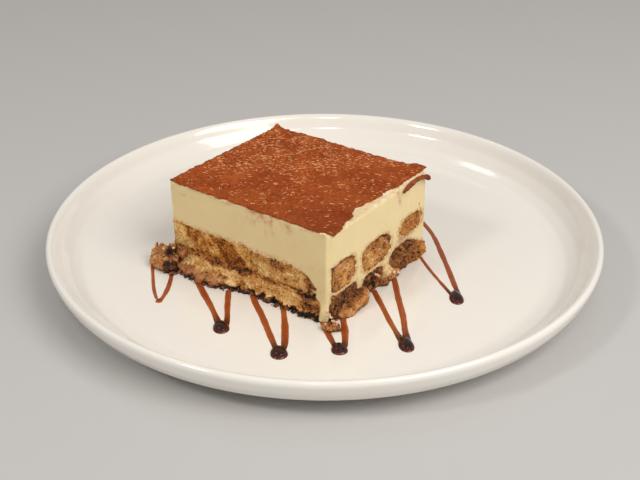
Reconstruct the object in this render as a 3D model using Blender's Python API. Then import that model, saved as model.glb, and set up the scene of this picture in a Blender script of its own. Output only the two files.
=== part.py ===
"""A slice of tiramisu on its coupe plate, with zigzags of coffee sauce on the plate's well.

Every size is in millimetres and becomes metres where a mesh is made. The origin is on the table
below the plate's middle, +Z is up, and +X runs along the sponge fingers. The slice shows a cut
face on each side: the front one, towards -Y, goes lengthwise through the fingers, and the right
one, towards +X, goes across them.
"""
import bpy
import bmesh
import numpy as np

MM = 0.001
GAP = 0.3

# The plate.
RIM_RADIUS = 135.0
RIM_HEIGHT = 22.4
WELL_RADIUS = 112.0
WELL_FLOOR = 7.0
FOOT_INNER, FOOT_OUTER = 84.0, 88.0
PLATE_SIDES = 60

# The slice: its plan corners, going round anticlockwise from the front left one.
CORNER_FRONT_LEFT = (-51.2, -54.4)
CORNER_FRONT_RIGHT = (42.6, -54.4)
CORNER_BACK_RIGHT = (42.2, 25.2)
CORNER_BACK_LEFT = (-49.8, 24.4)
CORNER_RADII = (1.5, 4.0, 1.8, 1.5)
FRONT_Y = CORNER_FRONT_LEFT[1]
LEFT_X = CORNER_BACK_LEFT[0] - 0.5
RIGHT_X = CORNER_BACK_RIGHT[0] + 0.2
SLICE_BASE = WELL_FLOOR + GAP
CREAM_TOP = 50.0
COCOA_THICKNESS = 0.9
TOP_RELIEF = 0.25

# The strip of cream left bare along the right edge: its width at a few places along Y, front to back.
BARE_PLACES = (-44.0, -38.0, -33.0, -28.0, -17.0, -5.0, 6.0, 14.0, 21.0)
BARE_WIDTHS = (0.0, 2.0, 3.6, 5.2, 4.4, 3.8, 2.8, 2.4, 1.6)
# The skin's back right corner has lifted off the cream.
LOBE_LIFT = 2.0
LAYER_LINE = 16.9
PAST_FACE = 4.0
PAST_ROUND_END = 2.0
PAST_CUT_END = 12.0
FINGER_SPLIT = -3.5
SEAM_GAP = 0.5
ROUND_END = 6.0
SLUMP_FROM = 8.0
MOST_SLUMP = 5.2
FULLNESS = 2.7
CRAG_DEPTH = 0.35
CHANNEL_GAP = GAP + 0.1

# How far the soaked lower layer spreads out past the front face, at the plate.
FRONT_SPREAD_LEFT = 7.0
FRONT_SPREAD_RIGHT = 3.4

# The sauce.
SAUCE_HEIGHT = 1.1
STROKE_WIDTH = 2.5
POOL_WIDTH = 6.2


def smoothstep(value, low, high):
    """Goes smoothly from 0 at low to 1 at high."""
    share = np.clip((value - low) / (high - low), 0.0, 1.0)
    return share * share * (3.0 - 2.0 * share)


def bump(distance):
    """A round hill of height 1 where distance is 0."""
    return np.exp(-distance * distance)


def ripple(seed, wavelength):
    """A smooth uneven field over points, between about -1 and 1: a mean of sine waves."""
    draw = np.random.default_rng(seed)
    heading = draw.normal(size=(7, 3))
    heading /= np.linalg.norm(heading, axis=1, keepdims=True)
    heading *= 2.0 * np.pi / (wavelength * draw.uniform(0.7, 1.6, (7, 1)))
    phase = draw.uniform(0.0, 2.0 * np.pi, 7)
    return lambda points: 1.7 * np.sin(points @ heading.T + phase).mean(axis=-1)


def food_material(name, colour, roughness):
    """A plain coloured material."""
    material = bpy.data.materials.new(name)
    material.use_nodes = True
    shader = material.node_tree.nodes["Principled BSDF"]
    shader.inputs["Base Color"].default_value = (*colour, 1.0)
    shader.inputs["Roughness"].default_value = roughness
    shader.inputs["Metallic"].default_value = 0.0
    return material


def add_object(name, mesh, material):
    """Puts a mesh into the scene as one named object."""
    placed = bpy.data.objects.new(name, mesh)
    bpy.context.scene.collection.objects.link(placed)
    if material is not None:
        mesh.materials.append(material)
    mesh.shade_smooth()
    mesh.set_sharp_from_angle(angle=np.radians(40.0))
    return placed


def closed_mesh(name, rings, start_pole, end_pole):
    """A closed mesh of triangles through rings of points, an array of ring by point by xyz.

    Each end is shut by a fan to its pole.
    """
    count, around = rings.shape[:2]
    points = [tuple(point) for point in (rings.reshape(-1, 3) * MM)]
    faces = []
    for ring in range(count - 1):
        for step in range(around):
            here, beside = ring * around + step, ring * around + (step + 1) % around
            faces.append((here, beside, beside + around))
            faces.append((here, beside + around, here + around))
    for pole, ring in ((start_pole, 0), (end_pole, count - 1)):
        middle = len(points)
        points.append(tuple(np.asarray(pole) * MM))
        for step in range(around):
            faces.append((middle, ring * around + step, ring * around + (step + 1) % around))
    mesh = bpy.data.meshes.new(name)
    mesh.from_pydata(points, [], faces)
    shape = bmesh.new()
    shape.from_mesh(mesh)
    bmesh.ops.recalc_face_normals(shape, faces=shape.faces)
    shape.to_mesh(mesh)
    shape.free()
    return mesh


def cap_rings(ring, shares, relief):
    """Rings that shrink from the given one to its middle, and that middle, moved by relief."""
    middle = ring.mean(axis=0)
    inner = np.array([middle + (ring - middle) * share for share in shares])
    pole = middle[None, :]
    return inner + relief(inner), (pole + relief(pole))[0]


def make_plate(material):
    """The coupe plate, turned from its section: a flat well that curves up into a steep rim."""
    section = np.array([
        (30.0, WELL_FLOOR), (WELL_RADIUS, WELL_FLOOR), (118.6, 7.7), (124.0, 10.6), (128.4, 15.4),
        (131.0, 20.8), (132.7, RIM_HEIGHT), (134.4, 21.9), (RIM_RADIUS, 20.4), (133.8, 15.5),
        (131.0, 11.0), (125.5, 6.9), (116.0, 3.9), (FOOT_OUTER + 2.0, 2.5), (FOOT_OUTER, 0.0),
        (FOOT_INNER, 0.0), (FOOT_INNER - 2.0, 2.3), (30.0, 2.4),
    ])
    turn = np.linspace(0.0, 2.0 * np.pi, PLATE_SIDES, endpoint=False)
    radius, height = section[:, 0][:, None], section[:, 1][:, None]
    rings = np.stack([radius * np.cos(turn), radius * np.sin(turn), height + 0.0 * turn], axis=-1)
    mesh = closed_mesh("plate", rings, (0.0, 0.0, WELL_FLOOR), (0.0, 0.0, 2.4))
    return add_object("plate", mesh, material)


def slice_outline(inset, steps=9, arc_steps=4):
    """The slice's plan, four straight sides and four round corners, anticlockwise."""
    corners = np.array([CORNER_FRONT_LEFT, CORNER_FRONT_RIGHT, CORNER_BACK_RIGHT, CORNER_BACK_LEFT])
    centre = corners.mean(axis=0)
    corners = corners + np.sign(centre - corners) * inset
    arcs = []
    for index, radius in enumerate(CORNER_RADII):
        heading = -np.pi + index * np.pi / 2.0 + np.linspace(0.0, np.pi / 2.0, arc_steps)
        middle = corners[index] + np.sign(centre - corners[index]) * radius
        arcs.append(middle + radius * np.stack([np.cos(heading), np.sin(heading)], axis=-1))
    outline = []
    for index, arc in enumerate(arcs):
        outline.extend(arc)
        start, end = arc[-1], arcs[(index + 1) % 4][0]
        outline.extend(start + (end - start) * share for share in np.linspace(0.0, 1.0, steps + 1)[1:-1])
    return np.array(outline)


def between(start, end, along, across, place):
    """The line through two plan corners: its across coordinate where its along one is place."""
    share = (place - start[along]) / (end[along] - start[along])
    return start[across] + share * (end[across] - start[across])


def left_face(y):
    """The left cut face's X."""
    return between(CORNER_FRONT_LEFT, CORNER_BACK_LEFT, 1, 0, y)


def right_face(y):
    """The right cut face's X."""
    return between(CORNER_FRONT_RIGHT, CORNER_BACK_RIGHT, 1, 0, y)


def back_face(x):
    """The back cut face's Y."""
    return between(CORNER_BACK_LEFT, CORNER_BACK_RIGHT, 0, 1, x)


def on_right_face(points):
    """1 on the right cut face, 0 elsewhere."""
    return smoothstep(points[..., 0], RIGHT_X - 3.0, RIGHT_X - 1.0)


def make_cream(material):
    """The cream: the slice's whole block, out of which the fingers' channels are cut."""
    heights = np.array([SLICE_BASE, SLICE_BASE + 0.9, 12.0, 17.0, 26.0, 38.0, CREAM_TOP - 0.9, CREAM_TOP])
    insets = np.array([1.0, 0.0, 0.0, 0.0, 0.0, 0.0, 0.0, 0.8])
    rings = []
    for height, inset in zip(heights, insets):
        outline = slice_outline(inset)
        rings.append(np.column_stack([outline, np.full(len(outline), height)]))
    rings = np.array(rings)
    waves = ripple(11, 34.0)(rings)[..., None] * 0.2
    outwards = rings[..., :2] - rings[..., :2].mean(axis=(0, 1))
    outwards /= np.linalg.norm(outwards, axis=-1, keepdims=True)
    rings[..., :2] += waves * outwards
    smear = bump((rings[..., 1] + 8.5) / 5.5) * bump((rings[..., 2] - 11.0) / 4.0)
    rings[..., 0] += 2.6 * smear * on_right_face(rings)
    top_relief = ripple(12, 40.0)

    def relief(points):
        lift = np.zeros_like(points)
        lift[..., 2] = TOP_RELIEF * top_relief(points)
        return lift

    top, top_pole = cap_rings(rings[-1], (0.75, 0.4), relief)
    base, base_pole = cap_rings(rings[0], (0.6,), np.zeros_like)
    rings = np.concatenate([base[::-1], rings, top])
    return add_object("cream", closed_mesh("cream", rings, base_pole, top_pole), material)


def make_cocoa(material):
    """The dusted cocoa skin, with a ragged edge, set back along the right face."""
    bottom = CREAM_TOP + TOP_RELIEF + GAP
    outline = slice_outline(0.0)
    plan = np.column_stack([outline, np.full(len(outline), bottom)])
    inwards = plan[:, :2].mean(axis=0) - plan[:, :2]
    inwards /= np.linalg.norm(inwards, axis=1, keepdims=True)
    ragged = 0.5 + 0.5 * ripple(21, 9.0)(plan)
    bare = np.interp(plan[:, 1], BARE_PLACES, BARE_WIDTHS) * on_right_face(plan)
    edge = plan[:, :2] + inwards * (ragged + bare)[:, None]
    tip = bump((plan[:, 0] - RIGHT_X) / 4.0) * bump((plan[:, 1] - FRONT_Y) / 4.0)
    edge += np.array([1.6, 0.6]) * tip[:, None]
    lobe = LOBE_LIFT * bump((edge[:, 0] - 38.0) / 7.0) * bump((edge[:, 1] - 25.0) / 6.0)
    low = np.column_stack([edge, bottom + lobe])
    high = np.column_stack([edge, bottom + COCOA_THICKNESS + lobe])
    top_relief = ripple(22, 26.0)

    def relief(points):
        lift = np.zeros_like(points)
        lift[..., 2] = TOP_RELIEF * top_relief(points)
        return lift

    top, top_pole = cap_rings(high, (0.93, 0.78, 0.58, 0.38, 0.18), relief)
    base, base_pole = cap_rings(low, (0.6, 0.2), np.zeros_like)
    rings = np.concatenate([base[::-1], low[None], high[None], top])
    return add_object("cocoa_top", closed_mesh("cocoa_top", rings, base_pole, top_pole), material)


def front_face(x, z):
    """The front cut face's Y: upright over the upper layer, spread out below it."""
    spread = FRONT_SPREAD_RIGHT + (FRONT_SPREAD_LEFT - FRONT_SPREAD_RIGHT) * (
        smoothstep(-x, 0.0, 22.0) * (1.0 - 0.45 * smoothstep(-x, 36.0, 50.0)))
    low = np.clip((LAYER_LINE - z) / (LAYER_LINE - SLICE_BASE), 0.0, 1.0)
    return FRONT_Y - spread * low ** 0.8


def corner_cover(x, z):
    """How thick the cream over the right ends of the front fingers is, 0 where they are bare."""
    upper = np.hypot((x - 29.0) / 8.0, (z - 23.0) / 9.0)
    lower = np.hypot((x - 29.0) / 9.5, (z - 11.0) / 9.0)
    outside = np.minimum(upper, lower) - 1.0
    return np.where(x > 29.0, 1.9 * smoothstep(outside, 0.0, 0.45), 0.0)


class Finger:
    """One sponge finger: a long loaf along X whose section is a superellipse pressed flat by its
    neighbours, with round or cut ends."""

    def __init__(self, name, span, round_ends, middle_y, middle_z, half_width, half_height, around=14,
                 stations=7, base=None, ceiling=None, front_cut=False, back_cut=False, seed=1, lean=0.0,
                 neighbour_y=None, end_bulge=None, slump=0.0):
        self.name = name
        self.span = span
        self.round_ends = round_ends
        self.middle_y = middle_y
        self.middle_z = middle_z
        self.half_width = half_width
        self.half_height = half_height
        self.around = around
        self.stations = stations
        self.base = base
        self.ceiling = ceiling
        self.front_cut = front_cut
        self.back_cut = back_cut
        self.crags = ripple(seed, 11.0)
        self.lean = lean
        self.neighbour_y = neighbour_y
        self.end_bulge = end_bulge
        self.slump = slump

    def centre(self, x):
        """The section's middle at x."""
        share = (x - self.span[0]) / (self.span[1] - self.span[0])
        rise = (self.middle_z[1] - self.middle_z[0]) * smoothstep(share, 0.3, 1.0)
        return self.middle_y + self.lean * (share - 0.5), self.middle_z[0] + rise

    def end_share(self, x):
        """How full the section is at x: it shrinks towards a round end."""
        share = 1.0
        for round_end, distance in zip(self.round_ends, (x - self.span[0], self.span[1] - x)):
            if round_end:
                near = np.clip(1.0 - distance / ROUND_END, 0.0, 0.72)
                share *= (1.0 - near ** FULLNESS) ** (1.0 / FULLNESS)
        return share

    def section(self, x, grow=0.0, opened=False):
        """The ring of points at x, as a distance from the section's middle at each angle.

        grow adds a clearance all round; opened carries a cut face far out, past the cream.
        """
        step = np.linspace(0.0, 2.0 * np.pi, self.around, endpoint=False) + 0.07
        turn = np.arctan2(self.half_height * np.sin(step), self.half_width * np.cos(step))
        cosine, sine = np.cos(turn), np.sin(turn)
        middle_y, middle_z = self.centre(x)
        share = self.end_share(x)
        wide, high = self.half_width * share + grow, self.half_height * share + grow
        reach = (np.abs(cosine / wide) ** FULLNESS + np.abs(sine / high) ** FULLNESS) ** (-1.0 / FULLNESS)
        if self.base is not None:
            reach = np.minimum(reach, (self.base(x) - grow - middle_z) / np.minimum(sine, -1e-6))
        if self.ceiling is not None:
            reach = np.minimum(reach, (self.ceiling(x) + grow - middle_z) / np.maximum(sine, 1e-6))
        if self.neighbour_y is not None:
            reach = np.minimum(reach, (self.neighbour_y + grow - middle_y) / np.maximum(cosine, 1e-6))
        if self.front_cut:
            ahead = np.minimum(cosine, -0.02)
            face_z = middle_z + (FRONT_Y - middle_y) * sine / ahead
            cover = corner_cover(x, face_z)
            surface = np.column_stack([np.full(self.around, 2.0 * x), turn, 2.0 * face_z])
            rough = CRAG_DEPTH * self.crags(surface)
            cut_reach = (front_face(x, face_z) + cover + rough - grow - middle_y) / ahead
            cut = (cosine < -0.02) & (cut_reach < reach)
            far_reach = np.maximum((FRONT_Y - PAST_FACE - middle_y) / ahead, cut_reach)
            bare = opened & (cover < 0.3)
            reach = np.where(cut, np.where(bare, far_reach, cut_reach), reach)
        if self.back_cut:
            behind = np.maximum(cosine, 0.02)
            cut_reach = (back_face(x) - middle_y) / behind
            cut = (cosine > 0.02) & (cut_reach < reach)
            reach = np.where(cut, cut_reach + (PAST_FACE / behind if opened else 0.0), reach)
        y, z = middle_y + reach * cosine, middle_z + reach * sine
        height_share = np.clip((z - SLICE_BASE) / (middle_z - SLICE_BASE), 0.0, 1.0)
        drop = np.minimum(self.slump * np.maximum(y - SLUMP_FROM, 0.0), MOST_SLUMP) * smoothstep(x, 15.0, 40.0)
        z = z - drop * height_share
        return np.column_stack([np.full(self.around, x), y, z])

    def places(self, low, high):
        """The stations along X, closer together at round ends."""
        share = np.linspace(0.0, 1.0, self.stations)
        if self.round_ends[0] and not self.round_ends[1]:
            share = share ** 1.35
        if self.round_ends[1] and not self.round_ends[0]:
            share = 1.0 - (1.0 - share) ** 1.35
        return low + (high - low) * share

    def make(self, material):
        """The finger's own solid."""
        rings = np.array([self.section(x) for x in self.places(*self.span)])
        for ring, face, round_end in ((rings[0], left_face, self.round_ends[0]),
                                      (rings[-1], right_face, self.round_ends[1])):
            if not round_end:
                ring[:, 0] = face(ring[:, 1])
        caps = []
        for ring, side in ((rings[0], -1.0), (rings[-1], 1.0)):
            def relief(points, side=side):
                moved = np.zeros_like(points)
                moved[..., 0] = CRAG_DEPTH * self.crags(points * 2.0)
                if self.end_bulge is not None and side > 0.0:
                    moved[..., 0] += self.end_bulge(points)
                return moved
            caps.append(cap_rings(ring, (0.72, 0.38), relief))
        if self.end_bulge is not None:
            rings[-1, :, 0] += 0.75 * self.end_bulge(rings[-1])
        rings = np.concatenate([caps[0][0][::-1], rings, caps[1][0]])
        return add_object(self.name, closed_mesh(self.name, rings, caps[0][1], caps[1][1]), material)

    def channel_rings(self):
        """The rings of the space that the cream leaves for the finger."""
        low, high = self.span
        low_out = low - (PAST_ROUND_END if self.round_ends[0] else PAST_CUT_END)
        high_out = high + (PAST_ROUND_END if self.round_ends[1] else PAST_CUT_END)
        rings = [self.section(x, CHANNEL_GAP, True) for x in self.places(low, high)]
        first, last = rings[0].copy(), rings[-1].copy()
        first[:, 0], last[:, 0] = low_out, high_out
        return np.array([first] + rings + [last])

    def make_channel(self):
        """The cutter that takes this finger's space out of the cream."""
        rings = self.channel_rings()
        name = "channel_" + self.name
        mesh = closed_mesh(name, rings, rings[0].mean(axis=0), rings[-1].mean(axis=0))
        cutter = add_object(name, mesh, None)
        cutter.hide_render = True
        cutter.display_type = "WIRE"
        return cutter


def keep_largest_body(mesh):
    """Drops the loose scraps that cutting has left beside the largest body of a mesh."""
    shape = bmesh.new()
    shape.from_mesh(mesh)
    left = set(shape.faces)
    bodies = []
    while left:
        waiting = [left.pop()]
        body = list(waiting)
        while waiting:
            beside = {face for edge in waiting.pop().edges for face in edge.link_faces} & left
            left -= beside
            waiting.extend(beside)
            body.extend(beside)
        bodies.append(body)
    bodies.sort(key=len)
    for scrap in bodies[:-1]:
        bmesh.ops.delete(shape, geom=scrap, context="FACES")
    shape.to_mesh(mesh)
    shape.free()


def applied(thing):
    """Applies the modifiers of an object to its mesh."""
    evaluated = thing.evaluated_get(bpy.context.evaluated_depsgraph_get())
    thing.data = bpy.data.meshes.new_from_object(evaluated)
    thing.modifiers.clear()


def layer_line(x):
    """The height where the upper fingers press on the lower ones; it rises to the right."""
    return LAYER_LINE + 1.9 * smoothstep(x, 26.0, 42.0)


def upper_base(x):
    """The underside of the upper fingers."""
    return layer_line(x) + GAP


def lower_base(x):
    """The underside of the lower fingers, just over the plate."""
    return SLICE_BASE


def crust_bulge(points):
    """The soaked crust that is squeezed out of the right face, near the front corner."""
    return 5.4 * bump((points[..., 1] + 42.0) / 8.5) * bump((points[..., 2] - 9.5) / 5.5)


def middle_bulge(points):
    """The lower middle finger's end, pressed a little out of the right face."""
    return 2.2 * bump((points[..., 1] + 22.0) / 9.0) * bump((points[..., 2] - 9.5) / 5.0)


def back_bulge(points):
    """The lower back finger's end, which stands out most at the back right corner."""
    return 1.2 + 4.2 * bump((points[..., 1] - 17.0) / 9.0) * bump((points[..., 2] - 10.0) / 7.0)


def sponge_fingers():
    """The fingers of both layers, three rows of each; the outer rows have two fingers end to end."""
    left, right = LEFT_X, RIGHT_X
    seam_left, seam_right = FINGER_SPLIT - SEAM_GAP, FINGER_SPLIT + SEAM_GAP
    lower = {"base": lower_base, "ceiling": layer_line}
    return [
        Finger("finger_upper_front_left", (left, seam_left), (False, True), -45.0, (23.6, 23.9), 13.5, 7.0,
               around=20, stations=9, base=upper_base, front_cut=True, seed=31),
        Finger("finger_upper_front_right", (seam_right, right), (True, False), -45.0, (23.9, 27.4), 11.6, 7.6,
               around=20, stations=11, base=upper_base, front_cut=True, seed=32),
        Finger("finger_upper_middle", (left, right), (False, False), -17.8, (25.5, 26.2), 12.0, 7.4,
               around=16, stations=5, base=upper_base, seed=33),
        Finger("finger_upper_back_left", (left, seam_left), (False, True), 17.2, (25.6, 26.0), 13.0, 6.8,
               around=16, stations=6, base=upper_base, back_cut=True, seed=34),
        Finger("finger_upper_back_right", (seam_right, right), (True, False), 12.6, (26.8, 29.0), 10.2, 5.0,
               around=16, stations=6, lean=-1.5, seed=35),
        Finger("finger_lower_front_left", (left, seam_left), (False, True), -46.5, (12.0, 12.0), 19.0, 9.0,
               neighbour_y=-33.2, around=20, stations=8, front_cut=True, seed=41, **lower),
        Finger("finger_lower_front_right", (seam_right, right), (True, False), -46.5, (12.0, 13.2), 15.0, 9.0,
               neighbour_y=-33.8, around=20, stations=10, front_cut=True, seed=42,
               end_bulge=crust_bulge, **lower),
        Finger("finger_lower_middle", (left, right), (False, False), -20.5, (12.0, 12.2), 9.6, 6.6,
               around=16, stations=3, seed=43, end_bulge=middle_bulge, **lower),
        Finger("finger_lower_back_left", (left, seam_left), (False, True), 10.0, (12.0, 12.0), 17.5, 8.0,
               around=16, stations=6, back_cut=True, seed=44, **lower),
        Finger("finger_lower_back_right", (seam_right, right), (True, False), 9.4, (12.6, 13.8), 17.0, 7.4,
               around=16, stations=7, back_cut=True, seed=45, base=lower_base, end_bulge=back_bulge,
               slump=0.45),
    ]


def cut_channels(cream, fingers):
    """Takes the fingers' spaces out of the cream, all in one cut."""
    channels = bpy.data.collections.new("channels")
    bpy.context.scene.collection.children.link(channels)
    for finger in fingers:
        channels.objects.link(finger.make_channel())
    cut = cream.modifiers.new("channels", "BOOLEAN")
    cut.operation = "DIFFERENCE"
    cut.operand_type = "COLLECTION"
    cut.collection = channels
    cut.solver = "EXACT"
    applied(cream)
    keep_largest_body(cream.data)
    shape = bmesh.new()
    shape.from_mesh(cream.data)
    bmesh.ops.remove_doubles(shape, verts=shape.verts, dist=0.01 * MM)
    shape.to_mesh(cream.data)
    shape.free()
    for channel in list(channels.objects):
        bpy.data.objects.remove(channel)
    bpy.data.collections.remove(channels)


def make_clod(name, middle, radii, seed, corner, towards, material, turns=14, levels=7):
    """A broken lump of soaked sponge: an uneven ball, flat on the plate, with one corner left free.

    The lump stays clear of everything that lies past the plan point corner, towards the given signs.
    """
    middle, radii = np.array(middle), np.array(radii)
    crags = ripple(seed, 7.0)
    turn = np.linspace(0.0, 2.0 * np.pi, turns, endpoint=False)
    rings = []
    for lift in np.linspace(-1.15, 1.15, levels):
        heading = np.column_stack([np.cos(turn) * np.cos(lift), np.sin(turn) * np.cos(lift),
                                   np.full(turns, np.sin(lift))])
        reach = 1.0 / np.linalg.norm(heading / radii, axis=1)
        reach *= 1.0 + 0.16 * crags(middle + heading * reach[:, None])
        down = np.minimum(heading[:, 2], -1e-6)
        reach = np.where(heading[:, 2] < 0.0, np.minimum(reach, (SLICE_BASE - middle[2]) / down), reach)
        ahead = heading[:, :2] * towards
        distance = (np.array(corner) - middle[:2]) * towards
        enter = np.max(distance / np.maximum(ahead, 1e-6), axis=1)
        blocked = np.all((ahead > 0.0) | (distance < 0.0), axis=1)
        reach = np.where(blocked, np.minimum(reach, enter), reach)
        rings.append(middle + heading * reach[:, None])
    rings = np.array(rings)
    low = rings[0].mean(axis=0)
    high = rings[-1].mean(axis=0) + (0.0, 0.0, 0.5)
    return add_object(name, closed_mesh(name, rings, low, high), material)


def make_curl(material):
    """The strip of cocoa skin that has come away along the back of the right edge, a tapered roll."""
    route = np.array([(43.9, 2.4, 49.2), (44.0, 6.5, 50.4), (44.0, 11.0, 51.2), (44.0, 15.5, 51.2),
                      (44.2, 19.5, 50.4), (44.5, 22.8, 49.2), (44.4, 24.6, 48.4)])
    radii = np.array([0.7, 1.0, 1.0, 1.0, 1.1, 1.5, 0.8])
    turn = np.linspace(0.0, 2.0 * np.pi, 8, endpoint=False)
    rings = []
    for point, radius in zip(route, radii):
        ring = np.column_stack([radius * np.cos(turn), 0.0 * turn, radius * np.sin(turn)])
        rings.append(point + ring)
    mesh = closed_mesh("cocoa_curl", np.array(rings), route[0] - (0.0, 0.6, 0.1), route[-1] + (0.0, 0.6, 0.0))
    return add_object("cocoa_curl", mesh, material)


def smooth_route(points, count):
    """A Catmull-Rom curve through the points, at count even steps."""
    points = np.array(points, dtype=float)
    padded = np.concatenate([2.0 * points[:1] - points[1:2], points, 2.0 * points[-1:] - points[-2:-1]])
    place = np.linspace(0.0, len(points) - 1.0, count)
    span = np.minimum(place.astype(int), len(points) - 2)
    share = (place - span)[:, None]
    before, start, end, after = (padded[span + step] for step in range(4))
    return 0.5 * (2.0 * start + (end - before) * share
                  + (2.0 * before - 5.0 * start + 4.0 * end - after) * share ** 2
                  + (3.0 * start - before - 3.0 * end + after) * share ** 3)


def stroke_mesh(name, route, width, count=6):
    """A low ridge of sauce along a route: flat below, round above."""
    path = smooth_route(route, count)
    along = np.gradient(path, axis=0)
    along /= np.linalg.norm(along, axis=1, keepdims=True)
    across = np.column_stack([-along[:, 1], along[:, 0]])
    offsets = ((-0.5, 0.0), (-0.28, 0.9), (0.28, 0.9), (0.5, 0.0))
    lines = [np.column_stack([path + across * side * width, np.full(count, SLICE_BASE + lift * SAUCE_HEIGHT)])
             for side, lift in offsets]
    rings = np.stack(lines, axis=1)
    return closed_mesh(name, rings, rings[0].mean(axis=0), rings[-1].mean(axis=0))


def pool_mesh(name, middle, width, turns=10):
    """The thick drop of sauce where a zigzag turns back."""
    turn = np.linspace(0.0, 2.0 * np.pi, turns, endpoint=False)
    rings = []
    for share, lift in ((1.0, 0.0), (0.86, 1.0)):
        rings.append(np.column_stack([middle[0] + 0.5 * width * share * np.cos(turn),
                                      middle[1] + 0.5 * width * share * np.sin(turn),
                                      np.full(turns, SLICE_BASE + lift * SAUCE_HEIGHT)]))
    rings = np.array(rings)
    return closed_mesh(name, rings, rings[0].mean(axis=0),
                       (middle[0], middle[1], SLICE_BASE + 1.5 * SAUCE_HEIGHT))


def make_sauce_loop(name, strokes, pools, material):
    """One zigzag of sauce: its strokes and the drops at its tips, joined into one body."""
    parts = bpy.data.collections.new(name + "_parts")
    bpy.context.scene.collection.children.link(parts)
    for index, (route, width) in enumerate(strokes[1:]):
        mesh = stroke_mesh(name + f"_stroke_{index}", route, width)
        parts.objects.link(bpy.data.objects.new(mesh.name, mesh))
    for index, (middle, width) in enumerate(pools):
        mesh = pool_mesh(name + f"_drop_{index}", middle, width)
        parts.objects.link(bpy.data.objects.new(mesh.name, mesh))
    loop = add_object(name, stroke_mesh(name, *strokes[0]), material)
    union = loop.modifiers.new("join", "BOOLEAN")
    union.operation = "UNION"
    union.operand_type = "COLLECTION"
    union.collection = parts
    union.solver = "EXACT"
    applied(loop)
    for piece in list(parts.objects):
        bpy.data.objects.remove(piece)
    bpy.data.collections.remove(parts)
    return loop


def sauce_loops():
    """The zigzags, each with its strokes from the slice's foot to a tip, and the drop at that tip."""
    wide, thin = STROKE_WIDTH, STROKE_WIDTH - 0.6
    return {
        "sauce_front_1": ([([(-62.5, -66.0), (-58.1, -66.8), (-49.4, -73.6), (-40.6, -80.8),
                             (-34.6, -84.6)], thin),
                           ([(-34.2, -85.2), (-35.8, -78.5), (-39.8, -71.4), (-42.5, -67.5)], thin)],
                          [((-34.6, -84.3), thin + 1.2)]),
        "sauce_front_2": ([([(-29.0, -66.8), (-25.1, -68.0), (-11.4, -76.5), (1.8, -84.6)], wide),
                           ([(3.4, -84.6), (0.0, -75.7), (-6.0, -66.3)], wide)],
                          [((2.6, -84.8), POOL_WIDTH)]),
        "sauce_front_3": ([([(6.5, -62.4), (13.7, -67.8), (24.9, -76.6), (35.8, -85.2)], wide),
                           ([(37.6, -84.8), (28.9, -70.7), (21.0, -61.0)], wide)],
                          [((36.9, -85.2), POOL_WIDTH)]),
        "sauce_front_4": ([([(50.0, -64.6), (53.5, -67.2), (57.0, -69.6)], wide),
                           ([(58.0, -69.4), (57.1, -63.6), (54.4, -58.5), (50.6, -53.0)], wide)],
                          [((57.6, -69.4), POOL_WIDTH - 0.4)]),
        "sauce_front_5": ([([(47.5, -24.2), (54.1, -30.2), (65.0, -39.5), (77.8, -49.6)], wide),
                           ([(78.6, -49.0), (66.8, -33.2), (53.7, -17.8), (47.3, -9.8)], wide)],
                          [((78.0, -49.2), POOL_WIDTH)]),
        "sauce_front_6": ([([(50.8, 12.7), (56.6, 8.9), (66.1, 2.2), (76.8, -5.0)], thin),
                           ([(77.0, -4.4), (61.5, 14.7), (49.0, 28.3), (31.0, 46.0), (11.5, 61.0)], wide),
                           ([(10.5, 60.6), (8.6, 50.0), (3.0, 38.0), (-1.5, 29.5)], wide)],
                          [((76.6, -4.8), POOL_WIDTH), ((10.6, 60.4), POOL_WIDTH)]),
        "sauce_back_1": ([([(-13.0, 29.5), (-16.0, 40.0), (-22.6, 60.6)], wide),
                          ([(-23.6, 60.6), (-30.0, 46.0), (-37.0, 29.5)], wide)],
                         [((-23.0, 60.2), POOL_WIDTH)]),
        "sauce_back_2": ([([(-43.0, 29.5), (-47.0, 38.0), (-53.6, 50.4)], wide),
                          ([(-54.6, 50.2), (-57.5, 36.0), (-55.5, 20.0)], wide)],
                         [((-54.0, 50.0), POOL_WIDTH)]),
        "sauce_back_3": ([([(-55.5, 12.0), (-61.0, 17.0), (-71.6, 24.6)], wide),
                          ([(-72.4, 24.2), (-66.0, 12.0), (-56.0, -4.5)], wide)],
                         [((-71.8, 24.0), POOL_WIDTH)]),
        "sauce_back_4": ([([(-56.0, -15.0), (-62.0, -12.0), (-70.8, -8.4)], wide),
                          ([(-71.0, -9.4), (-64.0, -19.0), (-56.0, -30.5)], wide)],
                         [((-70.6, -8.8), POOL_WIDTH - 0.6)]),
    }


def main():
    for thing in list(bpy.data.objects):
        bpy.data.objects.remove(thing)
    glaze = food_material("plate_glaze", (0.86, 0.82, 0.76), 0.12)
    cream_paste = food_material("cream", (0.84, 0.72, 0.46), 0.45)
    cocoa_dust = food_material("cocoa", (0.26, 0.075, 0.025), 0.9)
    pale_sponge = food_material("pale_sponge", (0.66, 0.42, 0.17), 0.85)
    soaked_sponge = food_material("soaked_sponge", (0.24, 0.11, 0.045), 0.7)
    syrup = food_material("syrup", (0.3, 0.08, 0.02), 0.15)

    make_plate(glaze)
    cream = make_cream(cream_paste)
    fingers = sponge_fingers()
    for finger in fingers:
        finger.make(soaked_sponge if "lower" in finger.name else pale_sponge)
    cut_channels(cream, fingers)
    make_cocoa(cocoa_dust)
    make_curl(cocoa_dust)
    make_clod("soaked_lump_left", (-53.5, -61.5, 11.2), (9.5, 6.5, 6.0), 51, (-51.6, -59.8), (1.0, 1.0),
              soaked_sponge)
    make_clod("soaked_lump_right", (46.4, -58.9, 8.9), (4.8, 3.6, 2.9), 52, (45.4, -58.4), (-1.0, 1.0),
              soaked_sponge, turns=12, levels=6)
    for name, (strokes, pools) in sauce_loops().items():
        make_sauce_loop(name, strokes, pools, syrup)


main()
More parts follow.
